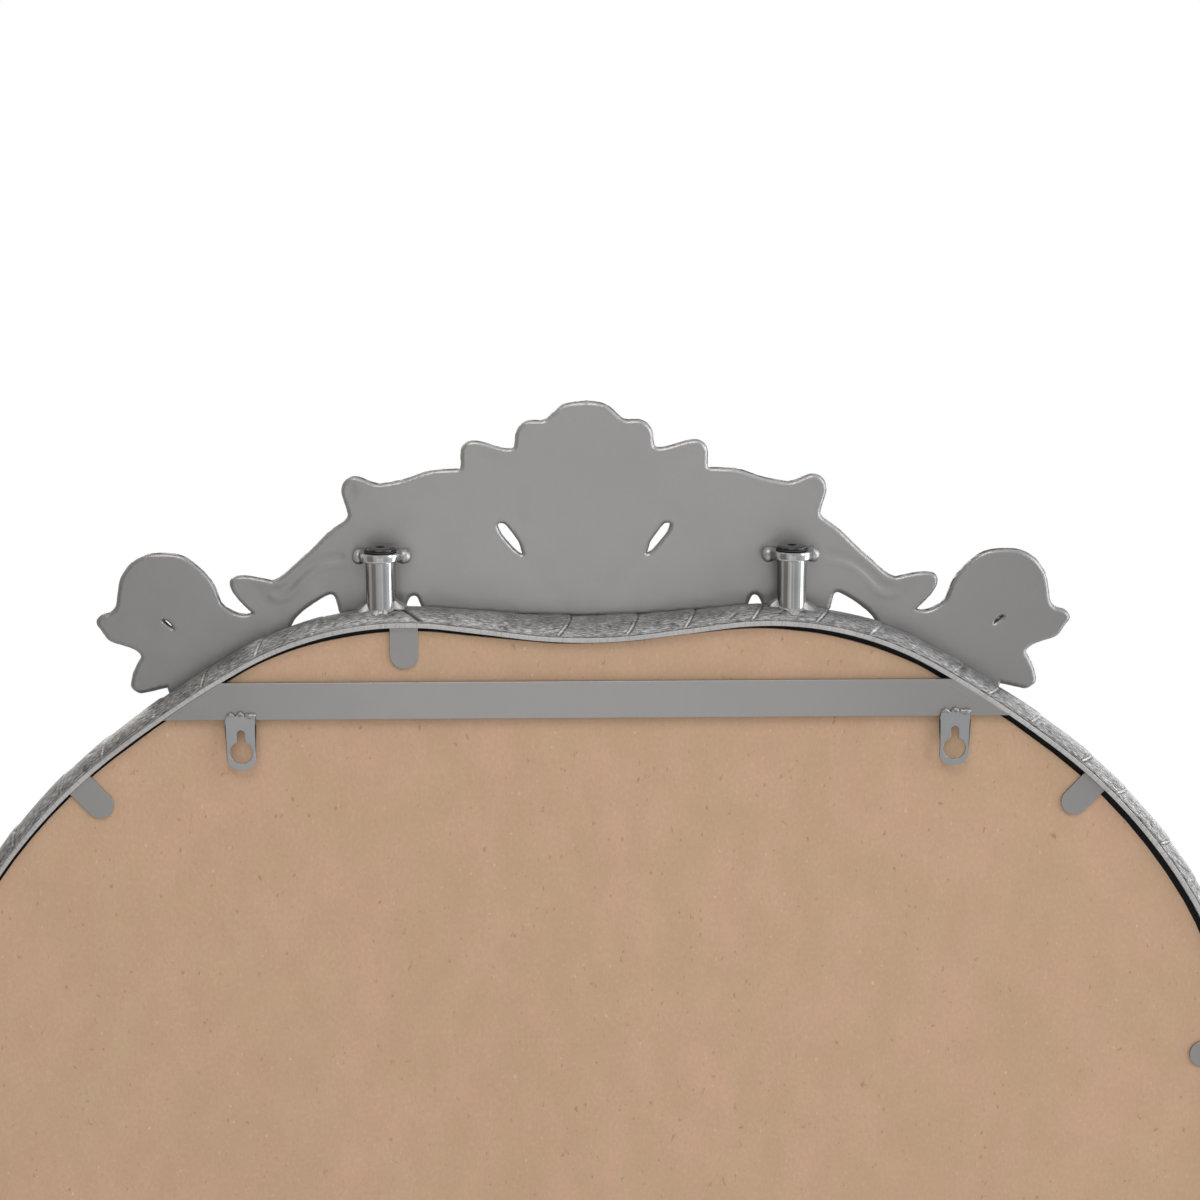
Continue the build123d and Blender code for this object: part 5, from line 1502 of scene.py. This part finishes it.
# ================================================================ floor, light, camera
floor_z = -1.5366
fv, ff = [], []
nr_, ns_ = 40, 96
for i in range(nr_):
    r = 4.2 * (i / (nr_ - 1)) ** 1.0
    for j in range(ns_):
        a = 2 * pi * j / ns_
        fv.append((1000 * r * cos(a), 1000 * r * sin(a), floor_z * 1000))
F = grid_faces(nr_, ns_, close_v=True)
me = bpy.data.meshes.new("floor")
me.from_pydata((np.array(fv) * MM).tolist(), [], F.tolist())
fm = Mat("floor_pale", Roughness=0.9)
fm.b.inputs["Specular IOR Level"].default_value = 0.1
fm.b.inputs["Base Color"].default_value = (0.80, 0.80, 0.80, 1)
tc = fm.n("ShaderNodeTexCoord").outputs["Object"]
ln_ = fm.n("ShaderNodeVectorMath", operation="LENGTH"); fm.link(tc, ln_.inputs[0])
tr = fm.n("ShaderNodeBsdfTransparent"); mx = fm.n("ShaderNodeMixShader")
fm.link(fm.rng(ln_.outputs["Value"], 2.9, 3.9, 0.0, 1.0), mx.inputs[0])
fm.link(fm.b.outputs[0], mx.inputs[1]); fm.link(tr.outputs[0], mx.inputs[2])
fm.link(mx.outputs[0], fm.nt.nodes["Material Output"].inputs["Surface"])
me.materials.append(fm.m)
floor = bpy.data.objects.new("floor", me)
bpy.context.scene.collection.objects.link(floor)


def area(name, loc, target, sx, sy, power, color=(1, 1, 1)):
    l = bpy.data.lights.new(name, "AREA")
    l.shape = "RECTANGLE"; l.size = sx; l.size_y = sy; l.energy = power; l.color = color
    o = bpy.data.objects.new(name, l)
    o.location = loc
    d = Vector(target) - Vector(loc)
    o.rotation_euler = d.to_track_quat("-Z", "Y").to_euler()
    bpy.context.scene.collection.objects.link(o)
    o.visible_camera = False
    return o


area("strip_right", (-2.35, 0.24, -0.05), (0.0, -0.02, 0.0), 0.86, 2.3, 24)
area("softbox_right", (-2.2, 1.35, 1.0), (0.0, 0.0, 0.0), 0.7, 1.2, 12)
area("softbox_back", (-0.02, 3.4, -0.62), (0.0, 0.0, 0.1), 2.2, 2.4, 6.0)
area("softbox_top", (0.3, 1.5, 2.3), (0.0, 0.0, 0.0), 1.6, 1.0, 22)
area("softbox_front_left", (1.6, -2.6, 1.4), (0.0, 0.0, -0.4), 1.2, 1.8, 30)
area("softbox_front_right", (-2.2, -2.2, 0.6), (0.0, 0.0, -0.5), 0.7, 2.2, 22)

w = bpy.data.worlds.new("studio")
bpy.context.scene.world = w
w.use_nodes = True
nt = w.node_tree
bg = nt.nodes["Background"]
out = nt.nodes["World Output"]
tcw = nt.nodes.new("ShaderNodeTexCoord")
sep = nt.nodes.new("ShaderNodeSeparateXYZ"); nt.links.new(tcw.outputs["Generated"], sep.inputs[0])
mr = nt.nodes.new("ShaderNodeMapRange")
for k, q in zip(("From Min", "From Max", "To Min", "To Max"), (-0.25, 0.85, 0.73, 1.02)):
    mr.inputs[k].default_value = q
nt.links.new(sep.outputs["Z"], mr.inputs["Value"])
# panels round the studio: brightness by heading, 0 at the wall side (+Y), positive towards -X
neg = nt.nodes.new("ShaderNodeMath"); neg.operation = "MULTIPLY"; neg.inputs[1].default_value = -1.0
nt.links.new(sep.outputs["X"], neg.inputs[0])
at2 = nt.nodes.new("ShaderNodeMath"); at2.operation = "ARCTAN2"
nt.links.new(neg.outputs[0], at2.inputs[0]); nt.links.new(sep.outputs["Y"], at2.inputs[1])
mr2 = nt.nodes.new("ShaderNodeMapRange")
for k, q in zip(("From Min", "From Max", "To Min", "To Max"), (-pi, pi, 0.0, 1.0)):
    mr2.inputs[k].default_value = q
nt.links.new(at2.outputs[0], mr2.inputs["Value"])
panels = [(-180, 0.95), (-110, 0.85), (-96, 0.66), (-88, 0.74), (-74, 0.74), (-66, 0.36), (-38, 0.36), (-28, 0.90), (-6, 0.92), (0, 0.62), (10, 0.74),
          (35, 0.80), (44, 0.88), (50, 1.15), (72, 1.35), (96, 1.20), (104, 0.85), (112, 0.60), (126, 0.78), (180, 0.95)]
crm = nt.nodes.new("ShaderNodeValToRGB")
el = crm.color_ramp.elements
while len(el) < len(panels):
    el.new(0.5)
for e_, (a_, v_) in zip(el, panels):
    e_.position = (a_ + 180) / 360
    warm = max(-1.0, min(1.0, -a_ / 45.0))
    e_.color = (v_ / 2 * (1 + 0.045 * warm), v_ / 2, v_ / 2 * (1 - 0.055 * warm), 1)
nt.links.new(mr2.outputs[0], crm.inputs["Fac"])
nt.links.new(crm.outputs["Color"], bg.inputs["Color"])
dbl = nt.nodes.new("ShaderNodeMath"); dbl.operation = "MULTIPLY"; dbl.inputs[1].default_value = 2.0
nt.links.new(mr.outputs[0], dbl.inputs[0])
nt.links.new(dbl.outputs[0], bg.inputs["Strength"])
bg2 = nt.nodes.new("ShaderNodeBackground")
bg2.inputs["Color"].default_value = (1, 1, 1, 1); bg2.inputs["Strength"].default_value = 1.0
lpn = nt.nodes.new("ShaderNodeLightPath"); mixw = nt.nodes.new("ShaderNodeMixShader")
nt.links.new(lpn.outputs["Is Camera Ray"], mixw.inputs[0])
nt.links.new(bg.outputs[0], mixw.inputs[1]); nt.links.new(bg2.outputs[0], mixw.inputs[2])
nt.links.new(mixw.outputs[0], out.inputs["Surface"])

cam_d = bpy.data.cameras.new("camera")
cam_d.lens = 67.5
cam_d.sensor_width = 36.0
cam_d.clip_start = 0.05; cam_d.clip_end = 60.0
cam = bpy.data.objects.new("camera", cam_d)
bpy.context.scene.collection.objects.link(cam)
yaw, pitch, roll = radians(0.996), radians(12.1), radians(-0.112)
fwd = Vector((-sin(yaw) * cos(pitch), -cos(yaw) * cos(pitch), -sin(pitch)))
right = Vector((-cos(yaw), sin(yaw), 0.0))
up = right.cross(fwd)
r2 = right * cos(roll) + up * sin(roll)
u2 = -right * sin(roll) + up * cos(roll)
from mathutils import Matrix
rot = Matrix((r2, u2, -fwd)).transposed()
cam.matrix_world = Matrix.Translation((0.0206, 1.2370, 0.3526)) @ rot.to_4x4()
bpy.context.scene.camera = cam

sc = bpy.context.scene
sc.view_settings.view_transform = "Standard"
sc.view_settings.look = "None"
sc.view_settings.exposure = 0.0
sc.view_settings.gamma = 1.0
